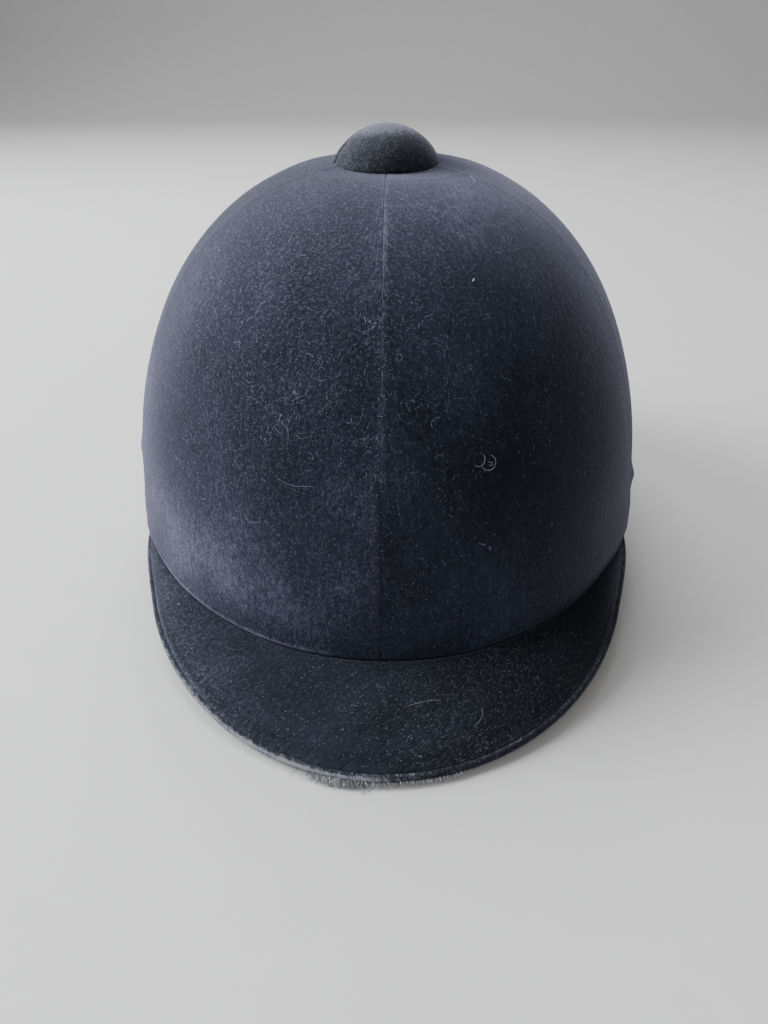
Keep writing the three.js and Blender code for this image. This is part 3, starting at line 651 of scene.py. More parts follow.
# Places where the pile lies over or is worn, with painted light on the wearer's right, towards the window,
# and painted shade (negative lifts) on the wearer's left: azimuth, height, reach in mm, and lift.
PILE_AND_LIGHT_SPOTS = [
    (-47, 50, 17, 0.16), (-35, 43, 15, 0.36), (-26, 33, 13, 0.32), (-17, 27, 12, 0.24), (-42, 28, 12, 0.12),
    (-7, 36, 14, 0.2), (-22, 56, 18, 0.16), (-62, 70, 26, 0.26), (-56, 104, 24, 0.04), (-70, 40, 24, 0.26),
    (-34, 128, 20, 0.12), (-8, 144, 20, 0.14), (42, 146, 18, 0.24), (24, 138, 18, 0.18), (16, 100, 13, 0.1),
    (12, 62, 11, 0.06), (20, 80, 26, -0.2), (32, 60, 32, -0.22), (50, 84, 34, -0.22), (44, 34, 24, -0.16),
    (76, 50, 38, -0.18), (30, 116, 16, 0.06), (-12, 70, 16, 0.02),
    (150, 60, 34, 0.2), (-140, 40, 34, 0.2), (130, 90, 30, 0.1), (-100, 60, 30, 0.2), (180, 120, 30, 0.15),
]
NAP_AT_REST = 0.32
PANEL_TONE = {"velvet_front_right": 0.05, "velvet_front_left": -0.1}  # the pile lies differently on each


# The pile's paleness on the crown: brushed pile, with the painted light and shade from the table above.
def pile_and_light_at(points):
    lift = np.full(points.shape[:-1], NAP_AT_REST)
    for azimuth, z, reach, amount in PILE_AND_LIGHT_SPOTS:
        centre = crown(float(azimuth), float(z))
        lift += amount * bell(np.linalg.norm(points - centre, axis=-1), 0, reach)
    return lift


def dust_at(points):
    """More lint on the wearer's right and towards the top."""
    side = smoothstep(points[..., 0], 45, -30)
    return np.clip(0.08 + 0.5 * side + 0.4 * smoothstep(points[..., 2], 70, 150), 0, 1)


def seam_roll(azimuth):
    """The seams at the middle, front and rear, are rolled more than the others."""
    return SEAM_ROLL["middle"] if azimuth in (0, 180, -180) else SEAM_ROLL["side"]


def velvet_panel(name, start, end, paint):
    """The velvet between two seams, from a rolled hem at the rim to under the button."""
    share = np.linspace(0, 1, 66)
    columns = start + (end - start) * (share - 0.985 * np.sin(2 * np.pi * share) / (2 * np.pi))
    turn = np.radians(np.linspace(0, 90, 6))[:, None]
    stations = np.concatenate([np.linspace(0, 0.075, 28)[1:], np.linspace(0.075, SEAM_END, 84)[1:]])[:, None]
    rim = rim_height(columns)
    bottom = rim + TRIM_HEIGHT - 0.3
    top_of_hem = bottom + HEM_ROLL
    z = np.concatenate([bottom + HEM_ROLL * (1 - np.cos(turn)),
                        top_of_hem + (CROWN_TOP - top_of_hem) * np.sin(stations * np.pi / 2)])
    hem = np.concatenate([HEM_ROLL * (1 - np.sin(turn)), 0 * stations])
    radius = plan_radius(columns) * width_share(z)
    to_seam = radius * np.radians(np.minimum(columns - start, end - columns))
    surface = crown(columns, z)
    along = lengths_along(surface)

    # The cloth rolls into its seams, swells over the padding, and is tucked in above the peak.
    size = np.where(columns - start < end - columns, seam_roll(start), seam_roll(end))
    roll = np.clip(size - to_seam, 0, size)
    groove = size - np.sqrt(size ** 2 - roll ** 2)
    ridge = 0.3 * size * bell(to_seam, 1.7, 1.1)
    pucker = 0.08 * size * np.sin(2 * np.pi * along / 3.1) * np.exp(-to_seam / 1.6)
    swell = 0.16 * gentle_waves(surface, 11) * smoothstep(to_seam, 0, 12) + fullness(surface)
    swell = swell + side_fullness(columns, z)
    over_peak = smoothstep(from_front(columns), PEAK_CREASE_END, PEAK_CREASE_END - 5)
    above = z - rim - PEAK_SEAT
    rolled = 0.4 + 0.2 * smoothstep(surface[..., 0], 0, -50)
    tucked = over_peak * (rolled * bell(above, 1.0, 0.65) - 0.35 * bell(above, 0, 0.5))
    points = crown(columns, z, hem + groove - ridge + pucker - swell - tucked)

    panel = sheet(f"{name}_cloth", points, VELVET_THICKNESS, paint, name)
    across = radius * np.radians(columns - (start + end) / 2)
    add_uv(panel, np.stack([across, along], -1))
    # The middle seam is pale with wear and lint high up, and dark below.
    at_middle = size > SEAM_ROLL["side"]
    worn = smoothstep(z, 66, 90) * at_middle
    dusty = worn * (0.3 + 0.16 * np.sin(along / 2.3) * np.sin(along / 0.9)) * np.exp(-to_seam / 0.9)
    seam_nap = (dusty - 0.3 * (1 - worn) * np.exp(-to_seam / 0.5)) * at_middle
    # A painted highlight along the tucked ridge above the peak, on the wearer's right, where the window light
    # falls.
    ridge_highlight = over_peak * 0.64 * bell(above, 0.9, 0.8) * smoothstep(surface[..., 0], 0, -45)
    from_centre = radius * np.radians(from_front(columns))
    tone = PANEL_TONE.get(name, 0) * smoothstep(from_centre, 40, 6) * smoothstep(z, 110, 60)
    add_pile(panel, pile_and_light_at(surface) + seam_nap + ridge_highlight + tone,
             dust_at(surface) + 0.5 * np.exp(-to_seam / 1.5) * worn)


def build_panels(paint):
    names = ["rear_right", "side_right", "front_right", "front_left", "side_left", "rear_left"]
    for name, start, end in zip(names, SEAMS[:-1], SEAMS[1:]):
        velvet_panel(f"velvet_{name}", start, end, paint)


# ---- Button ----

def build_button(paint):
    """A cap of a sphere, with the cloth gathered and tucked under its rim."""
    base, top = button_low.z / MM - BUTTON_SINK, button_high.z / MM - BUTTON_SINK + 0.3
    rim = (button_high.x - button_low.x) / 2 / MM + 0.35
    rise = top - base
    radius = (rim ** 2 + rise ** 2) / (2 * rise)
    centre_z = top - radius
    edge = math.asin(rim / radius) if rise < radius else math.pi - math.asin(rim / radius)
    sides = 224
    turn = around(sides)[None, :]
    fall = np.linspace(0.012, edge - 0.03, 40)[:, None]
    pleat = 0.05 * np.sin(24 * turn) * smoothstep(fall, 0.75 * edge, edge)
    tuck = bell(turn, BUTTON_TUCK, 0.035) * smoothstep(fall, 0.58 * edge, 0.74 * edge)
    beside = bell(turn - BUTTON_TUCK, -0.13, 0.07) * smoothstep(fall, 0.58 * edge, 0.82 * edge)
    pleat = pleat + 0.9 * tuck - 0.35 * beside
    pleat = pleat + 0.05 * np.sin(3 * turn + 1) * np.sin(4 * fall)
    cap = radius - pleat
    reach = cap * np.sin(fall)
    height = centre_z + cap * np.cos(fall)
    under = np.array([[0.35, -0.15], [0.1, -0.75], [-0.6, -1.05], [-1.8, -1.0], [-3.2, -0.8]])
    last_reach, last_height = reach[-1], height[-1]
    reach = np.concatenate([reach, last_reach + under[:, :1] - 0.35])
    height = np.concatenate([height, last_height + under[:, 1:] + 0 * turn])
    points = np.stack([reach * np.sin(turn), -reach * np.cos(turn), height], -1)
    rows = len(points)
    pole = rows * sides
    faces = grid_faces(rows, sides, wrap=True).tolist() + [[(i + 1) % sides, i, pole] for i in range(sides)]
    vertices = np.concatenate([points.reshape(-1, 3), [[0, 0, top]]])
    button = make_object("button_cloth", vertices, faces, paint, ["button_cover"])
    thicken(button, COVER_THICKNESS)
    # The pile is painted paler on the wearer's right, painted light from the window, and darker in the tucked
    # fold, painted shade; it is also paler and dustier over the top.
    over = smoothstep(vertices[:, 2] + 0.12 * vertices[:, 1], base + 7.4, top - 1)
    left = smoothstep(vertices[:, 0], 12, -14)
    crease = np.zeros(len(vertices))
    crease[:tuck.size] = tuck.ravel()
    add_pile(button, 0.36 + 0.64 * over + 0.1 * left - 0.9 * crease, 0.5 + 0.3 * over)


# ---- Peak ----

def corner_flare(share):
    """How far the peak's corners run on round the crown; shares go from -1 on the right to 1."""
    return smoothstep(np.abs(share), 0.78, 1)


def peak_seat(share):
    """The line where the peak's top meets the crown."""
    flare = corner_flare(share)
    azimuth = share * (PEAK_CORNER + 1.8 * flare)
    return crown(azimuth, rim_height(azimuth) + PEAK_SEAT - 3 * flare, -0.05)


def peak_edge(share):
    """The centreline of the rolled edge."""
    angle = share * np.pi / 2
    sine = np.sin(angle)
    cosine = np.maximum(np.cos(angle), 0)
    power = PEAK_PLAN_POWER - PEAK_LEAN * np.sign(sine)
    out, back = (corner_flare(share) * size for size in PEAK_FLARE)
    return np.stack([
        np.sign(sine) * (PEAK_HALF_WIDTH * np.abs(sine) ** power + out),
        PEAK_CORNER_Y - PEAK_REACH * cosine ** power + back,
        PEAK_EDGE_Z + PEAK_EDGE_RISE * (1 - cosine) ** PEAK_RISE_POWER], -1)


def edge_frame(share):
    """The edge's centreline, its direction, the level way in from it, and its radius."""
    step = 0.004
    low, high = (np.clip(share + move, -1, 1) for move in (-step, step))
    along = unit(peak_edge(high) - peak_edge(low))
    inward = unit(np.stack([-along[..., 1], along[..., 0], 0 * along[..., 0]], -1))
    radius = EDGE_RADIUS - (EDGE_RADIUS - EDGE_TIP_RADIUS) * np.abs(share) ** 6
    return peak_edge(share), along, inward, radius


def peak_top(share, across, lift=0.0):
    """The peak's top surface: from the crown (0) to the rolled edge (1)."""
    share, across = np.broadcast_arrays(np.asarray(share, float), np.asarray(across, float))
    centre, _, inward, radius = edge_frame(share)
    rim = centre + inward * (radius * 0.15)[..., None]
    rim[..., 2] += radius + 0.12
    seat = peak_seat(share)
    points = seat + (rim - seat) * across[..., None]
    points[..., 2] += PEAK_BULGE * 4 * across * (1 - across) * (1 - np.abs(share) ** 4) + lift
    return points


def peak_columns(count, width):
    """Shares across the peak, closer together near its corners."""
    return np.sin(np.linspace(-1, 1, count) * np.pi / 2)[None, :] * width


def build_peak_cover(paint):
    share = peak_columns(201, 0.995)
    across = np.concatenate([np.linspace(0, 0.06, 9), np.linspace(0.08, 0.9, 44), np.linspace(0.92, 1, 9)])
    points = peak_top(share, across[:, None])
    x = points[..., 0]
    to_seat = lengths_along(points)
    to_edge = to_seat[-1:] - to_seat
    open_gap = smoothstep(x, -60, -10) * (1 - 0.6 * smoothstep(x, 34, 66))
    fold = (0.35 + 0.6 * open_gap) * np.exp(-to_seat / 0.6)
    forward = smoothstep(np.abs(share), 0.9, 0.6)
    sink = 0.16 * np.exp(-to_edge / 0.35) + 0.2 * forward * bell(to_edge, 3.6, 1.1)
    points[..., 2] += 0.14 * gentle_waves(points, 5) * smoothstep(np.minimum(to_seat, to_edge), 0, 8)
    points[..., 2] -= fold + sink
    cover = sheet("peak_velvet", points, COVER_THICKNESS, paint, "peak_cover", flip=True)
    add_uv(cover, np.stack([lengths_along(points, 1), to_seat], -1))
    # Painted light and shade: the pile is painted paler on the wearer's right, towards the window, and darker
    # on the left; a painted highlight runs along the edge towards both corners; painted shade lies in a band
    # just inside the front edge and in the open gap at the crown.
    pile_and_light = 0.34 - 0.48 * smoothstep(x, -20, 76) + 0.08 * smoothstep(x, -10, -80)
    pile_and_light += 0.1 * bell(x, -55, 26) + 0.06 * gentle_waves(points, 6)
    rim_highlight = 0.3 * smoothstep(x, -40, -78) + 0.34 * smoothstep(x, 20, 60)
    pile_and_light += rim_highlight * bell(to_edge, 0.6, 0.8)
    pile_and_light -= 0.14 * forward * bell(to_edge, 3.5, 2.2) + 0.3 * open_gap * np.exp(-to_seat / 0.8)
    add_pile(cover, pile_and_light, 0.56 + 0.24 * gentle_waves(points, 8) - 0.3 * smoothstep(x, 20, 80))


def edge_wear(x):
    """How worn the rolled edge is: bald round the middle, most on the wearer's right."""
    pale = smoothstep(x, -54, -28) * smoothstep(x, 12, -8)
    return pale + 0.4 * smoothstep(x, -88, -56) * smoothstep(x, 62, 24)


def build_peak_edge(paint):
    share = np.linspace(-1, 1, 241)
    centre, along, inward, radius = edge_frame(share)
    up = unit(np.cross(inward, along))
    up *= np.sign(up[:, 2:3])
    sides = 20
    turn = around(sides)
    wear = edge_wear(centre[:, 0])[:, None]
    rough = 1 + 0.04 * np.random.default_rng(3).normal(size=(len(share), sides)) * wear
    reach = radius[:, None] * rough
    points = (centre[:, None] + inward[:, None] * (reach * np.cos(turn))[..., None]
              + up[:, None] * (reach * np.sin(turn))[..., None])
    points[..., 2] = np.maximum(points[..., 2], 0.05)
    faces = grid_faces(len(share), sides, wrap=True).tolist()
    faces += [list(range(sides)), [(len(share) - 1) * sides + i for i in reversed(range(sides))]]
    edge = make_object("peak_rolled_edge", points, faces, paint, ["peak_edge_binding"])
    outer = smoothstep(-np.cos(turn) + 0.4 * np.sin(turn), 0.8, 1.06)
    patchy = np.random.default_rng(4).uniform(0.8, 1.15, (len(share), sides))
    to_right = smoothstep(centre[:, :1], 30, -60)
    crest = bell(turn, 1.75, 0.5) * (1 - to_right)
    # Painted light on the wearer's right, towards the window, most on the outer face there; a painted
    # highlight along the top of the roll on the other side; paler worn pile on the outer face where edge_wear
    # says it is worn.
    pile_and_light = 0.1 + 0.3 * to_right + 0.36 * crest + outer * (0.18 * to_right + 0.46 * wear * patchy)
    add_pile(edge, pile_and_light, 0.4 + 0.5 * wear * outer)


# ---- Lint and fringe ----

def laid_spines(surface, u, v, heading, length, curl, random, steps, height, wander=0.25):
    """Fibres that lie on a surface given as a function of two parameters."""
    rows = []
    step = length / (steps - 1)
    for i in range(steps):
        rows.append(surface(u, v, height * (1 + 0.6 * np.sin(np.pi * i / (steps - 1)))))
        here = surface(u, v, 0.0)
        tiny = 1e-3
        u_size = np.linalg.norm(surface(u + tiny, v, 0.0) - here, axis=-1) / tiny
        v_size = np.linalg.norm(surface(u, v + tiny, 0.0) - here, axis=-1) / tiny
        heading = heading + curl + random.normal(0, wander, len(u))
        u = u + step * np.cos(heading) / np.maximum(u_size, 1e-3)
        v = v + step * np.sin(heading) / np.maximum(v_size, 1e-3)
    return np.stack(rows, 1)


def on_crown(azimuth, z, lift):
    z = np.clip(z, 0, CROWN_TOP - 0.2)
    return crown(azimuth, z, -lift - 0.05 - fullness(crown(azimuth, z)) - side_fullness(azimuth, z))


def on_peak(share, across, lift):
    return peak_top(np.clip(share, -0.97, 0.97), np.clip(across, 0.03, 0.99), lift + 0.05)


# Threads lain on the cloth: the surface, where on it, heading in radians, length, curl, radius, height
# and brightness.
LAID_THREADS = [
    (on_crown, -17.2, 76.2, -0.3, 14, 0.02, 0.05, 0.25, 1.0),
    (on_crown, -22.5, 63.5, -1.9, 9, 0.16, 0.05, 0.25, 1.0),
    (on_crown, 16.6, 83.0, -0.9, 6, -0.2, 0.06, 0.5, 1.5),
    (on_crown, 17.9, 82.6, -0.5, 9, -0.22, 0.06, 0.5, 1.5),
    (on_crown, 17.3, 80.6, 0.6, 3, -0.3, 0.06, 0.5, 1.3),
    (on_crown, 59.0, 149.0, -2.1, 15, -0.05, 0.07, 0.25, 1.3),
    (on_peak, 0.07, 0.48, -0.3, 11, 0.03, 0.055, 0.25, 1.1),
    (on_peak, 0.252, 0.62, 1.4, 7, 0.05, 0.05, 0.25, 0.95),
    (on_crown, 20.0, 127.4, 1.2, 1.1, 0.0, 0.28, 0.3, 1.9),  # a seed
]
# Knots of lint on the crown: azimuth, height and how many fibres.
LINT_KNOTS = [(-2, 116.8, 14), (-14, 100, 10), (-16, 92, 12), (-26, 110, 3), (17.5, 54, 4)]


def build_lint(paint):
    random = np.random.default_rng(21)
    parts = {on_crown: [], on_peak: []}

    def add(surface, spines, radii, shades):
        points, faces = spines_to_mesh(spines, radii)
        parts[surface].append((points, faces, np.repeat(shades, len(points) // len(shades))))

    def scatter(surface, u, v, length, radius, curl=0.5, height=0.12, shade=(0.0, 1.0), steps=6):
        count = len(u)
        length = random.uniform(*length, count) * random.uniform(0.5, 1.2, count)
        spines = laid_spines(surface, u, v, random.uniform(0, 2 * np.pi, count), length,
                             random.normal(0, curl, count), random, steps, height)
        radii = radius * random.uniform(0.6, 1.3, count)
        add(surface, spines, radii, shade[0] + (shade[1] - shade[0]) * random.uniform(0, 1, count) ** 1.6)

    # Dust all over the crown, thicker in front.
    count = 6600
    azimuth = np.concatenate([random.uniform(-180, 180, 3000), random.uniform(-75, 70, count - 3000)])
    station = np.clip(random.beta(1.3, 1.1, count), 0.02, 0.96)
    rim = rim_height(azimuth) + 6
    z = rim + (CROWN_TOP - 2 - rim) * np.sin(station * np.pi / 2)
    keep = random.uniform(0, 1, count) < dust_at(crown(azimuth, z))
    scatter(on_crown, azimuth[keep], z[keep], (0.3, 2.0), 0.033)

    # A thick patch beside the centre seam, with curls, and lint caught along the seam.
    thick = random.normal([-16, 92], [15, 20], (1100, 2))
    scatter(on_crown, thick[:, 0], np.clip(thick[:, 1], 30, 148), (0.7, 2.8), 0.034, shade=(0.05, 0.85))
    curls = random.normal([-13, 100], [13, 15], (120, 2))
    scatter(on_crown, curls[:, 0], np.clip(curls[:, 1], 40, 146), (2.2, 5.2), 0.04, 0.26, 0.25, (0.3, 1.1), 9)
    along_seam = random.normal(0, 0.3, 170)
    scatter(on_crown, along_seam, random.uniform(72, 150, 170), (0.3, 1.2), 0.045, shade=(0.1, 1.0))
    on_seam = random.normal(-2, 0.8, 24)
    scatter(on_crown, on_seam, random.normal(88, 1.6, 24), (1.0, 2.4), 0.05, shade=(0.7, 1.2))

    # The peak: drifts of dust, coarser grains and three crumbs.
    share = np.concatenate([random.uniform(-0.88, 0.42, 1100), random.normal(0.03, 0.15, 900)])
    share = np.clip(share, -0.9, 0.9)
    across = random.uniform(0.05, 0.97, 2000)
    drift = gentle_waves(peak_top(share, across) * 2.2, 12)
    keep = random.uniform(-0.9, 0.5, 2000) < drift
    scatter(on_peak, share[keep], across[keep], (0.2, 1.4), 0.036, shade=(0.0, 1.1))
    share = random.normal(0.03, 0.16, 70)
    scatter(on_peak, share, random.uniform(0.1, 0.95, 70), (0.25, 0.7), 0.06, shade=(0.3, 1.2))
    crumbs = np.array([[-0.656, 0.37], [-0.184, 0.03], [-0.081, 0.19]])
    scatter(on_peak, crumbs[:, 0], crumbs[:, 1], (0.4, 0.8), 0.2, shade=(1.2, 1.5))

    for azimuth, z, count in LINT_KNOTS:
        turn = random.normal(azimuth, 1.1, count)
        scatter(on_crown, turn, random.normal(z, 1.6, count), (1.2, 3.2), 0.05, 0.4, 0.3, (0.6, 1.3), 8)
    for surface, *path, radius, height, bright in LAID_THREADS:
        u, v, heading, length, curl = (np.array([value]) for value in path)
        spines = laid_spines(surface, u, v, heading, length, curl, random, 16, height, wander=0.12)
        add(surface, spines, [radius], [bright])

    for name, laid in zip(("lint_crown", "lint_peak"), parts.values()):
        faces, offset = [], 0
        for points, part_faces, _ in laid:
            faces += [[corner + offset for corner in face] for face in part_faces]
            offset += len(points)
        lint = make_object(name, np.concatenate([points for points, _, _ in laid]), faces, paint)
        add_attribute(lint, "shade", np.concatenate([shades for _, _, shades in laid]))


def build_fringe(paint):
    """The frayed cloth that stands out of the worn front edge: a comb, a thick tuft and loose threads."""
    random = np.random.default_rng(9)
    comb = np.arange(-14.5, 25, 0.34) + random.normal(0, 0.06, 117)
    tuft = random.normal(-12.5, 4.2, 330)
    stray = random.uniform(-50, 48, 120)
    threads = np.array([-5.6, -4.9, -19.6, 25.0, -2.2])
    x = np.concatenate([comb, tuft, stray, threads])
    length = np.concatenate([random.uniform(1.0, 1.8, len(comb)), random.uniform(1.0, 3.0, len(tuft)),
                             random.uniform(0.2, 0.7, len(stray)), [4.6, 3.4, 2.2, 1.8, 3.2]])
    count = len(x)
    sine = np.sign(x) * (np.abs(x) / PEAK_HALF_WIDTH) ** (1 / PEAK_PLAN_POWER)
    centre, along, inward, radius = edge_frame(np.arcsin(np.clip(sine, -1, 1)) * 2 / np.pi)
    tilt = random.uniform(-0.7, 0.1, count)
    start = centre - inward * (radius * np.cos(tilt) * 0.9)[:, None]
    start[:, 2] += radius * np.sin(tilt)
    spread = np.where(np.arange(count) < len(comb), 0.12, 0.45)
    sideways = (random.normal(0, 1, count) * spread)[:, None]
    rise = np.array([0, 0, 1.0]) * (0.5 * tilt + random.normal(-0.05, 0.2, count))[:, None]
    heading = unit(-inward + along * sideways + rise)
    share_out = np.linspace(0, 1, 5)[None, :, None]
    bend = along * (random.normal(0, 0.6, count) * spread)[:, None] + np.array([0, 0, -0.2])
    reach = length[:, None, None]
    spines = start[:, None] + heading[:, None] * reach * share_out + bend[:, None] * reach * share_out ** 2
    spines[..., 2] = np.maximum(spines[..., 2], 0.15)
    thickness = np.repeat([0.13, 0.08, 0.12], [len(comb), len(tuft) + len(stray), len(threads)])
    points, faces = spines_to_mesh(spines, thickness * random.uniform(0.7, 1.2, count))
    fringe = make_object("frayed_edge", points, faces, paint)
    add_attribute(fringe, "shade", np.repeat(random.uniform(0.45, 1.1, count), len(points) // count))


# ---- Rim, headband and lining ----

def rings_of_crown(name, azimuth, heights, depths, paint, node):
    """A closed ring round the crown from a closed profile: rows of (height, depth)."""
    points = crown(azimuth, heights, depths)
    faces = grid_faces(*points.shape[:2], wrap=True, wrap_rows=True)
    return face_out(make_object(name, points, faces, paint, [node]))


def all_round(count):
    return np.linspace(-180, 180, count, endpoint=False)[None, :]


def build_rim_trim(paint, thread):
    azimuth = all_round(400)
    under = np.linspace(1.4, 25.8, 34)
    grooves = sum(bell(under, at, 0.7) for at in TRIM_STITCHES)
    # Round the trim's section: depth below the crown's surface, and lift over the rim.
    profile = [(0.75, 1.05), (0.45, 0.75), (0.45, 0.35), (0.75, 0.05)]
    profile += list(zip(under, 0.5 * grooves))
    profile += [(26.3, 0.05), (26.8, 0.3), (27.0, 0.9), (26.7, 1.5), (26.0, 1.3), (14.0, 1.2), (4.0, 1.2)]
    depth, lift = np.array(profile).T[..., None]
    ripple = 0.06 * np.sin(np.radians(azimuth) * 55) * bell(depth, TRIM_STITCHES[1], 2.5)
    height = rim_height(azimuth) + 0.03 + lift + np.maximum(ripple, 0)
    rings_of_crown("rim_leather", azimuth, height, depth, paint, "rim_trim")
    turn = np.linspace(-180, 180, 721)
    for at in TRIM_STITCHES:
        stitches(f"rim_thread_{int(at)}", crown(turn, rim_height(turn) + 0.42, at), (0, 0, -1.0), thread)


def build_headband(cloth, band, thread):
    azimuth = all_round(300)
    # Round each section: station, and depth below the crown's surface.
    outer = [(0.0, 20.7), (0.06, 20.7), (0.12, 20.7), (0.18, 20.8), (0.196, 21.6)]
    inner = [(0.202, 23.2), (0.197, 24.8), (0.185, 25.7), (0.17, 25.8), (0.12, 25.9), (0.06, 25.9),
             (0.0, 25.8)]
    station, depth = np.array(outer + inner).T[..., None]
    swell = 0.35 * np.sin(np.radians(azimuth) * 18) * (station > 0.17)
    padding = rings_of_crown("headband_padding", azimuth, station_height(azimuth, station),
                             depth + 0.4 * swell, cloth, "headband_foam")

    up = np.linspace(0.0, SWEATBAND_TOP, 16)
    bulge = 0.7 * np.sin(np.pi * up / SWEATBAND_TOP) ** 0.8
    profile = list(zip(up, 27.0 + bulge - 0.35 * bell(up, SWEATBAND_STITCHES, 0.006)))
    profile += [(0.1765, 26.9), (0.1785, 26.5), (0.1765, 26.1), (0.17, 26.0), (0.1, 26.0), (0.0, 26.0)]
    station, depth = np.array(profile).T[..., None]
    rings_of_crown("sweatband_leather", azimuth, station_height(azimuth, station), depth, band, "sweatband")
    turn = np.linspace(-180, 180, 721)
    line = crown(turn, station_height(turn, SWEATBAND_STITCHES), 27.15)
    stitches("sweatband_thread", line, -crown_normal(line), thread, pitch=3.4, radius=0.2)
    rise = np.linspace(0.004, 0.15, 40)
    for name, side in reversed(SIDES.items()):
        line = crown(180 + side * 1.6, station_height(180.0, rise), 27.75)
        stitches(f"back_seam_{name}", line, -crown_normal(line), thread)


def build_lining(paint, cloth, piping):
    azimuth = all_round(432)
    station = np.concatenate([np.linspace(0.178, 0.86, 60), np.linspace(0.87, 0.985, 16)])[:, None]
    height = station_height(azimuth, station)
    pleat = np.abs(np.sin(np.radians(azimuth) * 24)) ** 0.6
    amount = 0.12 + 0.7 * smoothstep(station, 0.3, 0.84)
    sag = 0.25 * gentle_waves(crown(azimuth, height, 20.0), 14)
    depth = LINER_FACE + amount * pleat + 0.3 * np.maximum(sag, 0) * smoothstep(station, 0.2, 0.3)
    sheet("lining_satin", crown(azimuth, height, depth), 0.3, paint, "crown_lining", wrap=True, offset=0.0)

    azimuth = all_round(144)
    reach = np.concatenate([np.linspace(0.004, 0.28, 18), np.linspace(0.295, CUSHION_REACH, 8)])[:, None]
    share = reach / CUSHION_REACH
    # The pad is a shallow dome, creased in six and drawn in at its middle.
    crease = 0.7 * bell((azimuth + 30) % 60 - 30, 0, 5) * smoothstep(share, 0.05, 0.3) * (1 - share)
    face = 22.0 + 5.0 * np.sqrt(np.maximum(1 - share ** 3, 0)) - crease - 2.2 * bell(share, 0, 0.13)
    height = height_at_width(reach)
    points = np.concatenate([crown(azimuth, height, face), crown(azimuth, height, LINER_FACE)[::-1]])
    loft("crown_pad_cover", points, cloth, ["crown_pad"])
    edge = crown(np.linspace(-180, 180, 145), height_at_width(CUSHION_REACH + 0.002), 22.8)
    points, faces = spines_to_mesh(edge[None], [0.7], sides=8, tapered=False)
    face_out(make_object("crown_pad_piping", points, faces, piping))


# ---- Under the peak ----

def build_peak_board(paint):
    """The stiff core, at a constant depth under the peak's top."""
    points = peak_top(peak_columns(121, 0.93), np.linspace(0.03, 0.96, 30)[:, None])
    points[..., 2] = np.maximum(points[..., 2] - 2.5, 1.6)
    sheet("peak_board", points, 1.2, paint, "peak_core")


def build_peak_lining(paint, thread):
    """The leather underside, pulled up along its stitches and full where it covers the crown's hem."""
    rows, columns, stitch_inset = 30, 121, 5.0
    points = peak_top(peak_columns(columns, 0.96), np.linspace(0, 1, rows)[:, None])
    to_seat = lengths_along(points)
    to_edge = to_seat[-1:] - to_seat
    drop = 3.25 - 0.25 * bell(to_edge, stitch_inset, 0.6) - 0.15 * smoothstep(to_edge, 2, 0)
    drop += 0.85 * np.exp(-to_seat / 1.5)
    points[..., 2] = np.maximum(points[..., 2] - drop, 0.75)
    sheet("peak_underside", points, 0.6, paint, "peak_lining")
    row = np.interp(stitch_inset, to_edge[::-1, columns // 2], np.arange(rows)[::-1])
    line = peak_top(np.linspace(-0.88, 0.88, 300), row / (rows - 1))
    line[:, 2] = np.maximum(line[:, 2] - 3.6, 0.45)
    stitches("peak_thread", line, (0, 0, -1.0), thread)


# ---- Harness ----

to_chin = np.array([STRAP_X - CHIN_CENTRE[0], CHIN_CENTRE[1] - RUN_START_Y])
STRAP_LEAN = math.atan2(*to_chin) - math.asin(CHIN_BEND / math.hypot(*to_chin))


def run_point(side, along, out):
    """A plan point beside a straight run: along it from its start, and out from its middle."""
    along, out = np.broadcast_arrays(np.asarray(along, float), np.asarray(out, float))
    x = STRAP_X - math.sin(STRAP_LEAN) * along + math.cos(STRAP_LEAN) * out
    y = RUN_START_Y + math.cos(STRAP_LEAN) * along + math.sin(STRAP_LEAN) * out
    return np.stack([side * x, y], -1)


def turn_round(side, bar, forward):
    """A strap's half turn round a bar, from its run to its tail."""
    angle = np.radians(np.linspace(0, 180, 25))
    return run_point(side, bar + forward * TURN_RADIUS * np.sin(angle), TURN_RADIUS * (1 - np.cos(angle)))


def strap_tail(side, bar, forward, end):
    """The tail that comes back from a bar to lie on its run."""
    along = [bar - forward * 2, bar - forward * 7, end]
    return run_point(side, along, [2 * TURN_RADIUS, TAIL_OFFSET, TAIL_OFFSET])


def sewn_box(name, side, along, thread):
    """Stitches in a crossed rectangle, through the tail where it is sewn to its run."""
    (u0, u1), (z0, z1) = along, (STRAP_Z[0] + 2.2, STRAP_Z[1] - 2.2)
    path = resample([(u0, z0), (u1, z0), (u1, z1), (u0, z1), (u0, z0), (u1, z1), (u1, z0), (u0, z1)], 0.5)
    line = np.concatenate([run_point(side, path[:, 0], SEWN_FACE), path[:, 1:]], 1)
    outward = np.append(run_point(side, 0, 1) - run_point(side, 0, 0), 0)
    stitches(name, line, outward, thread, 1.9, 1.5, 0.17, "harness")


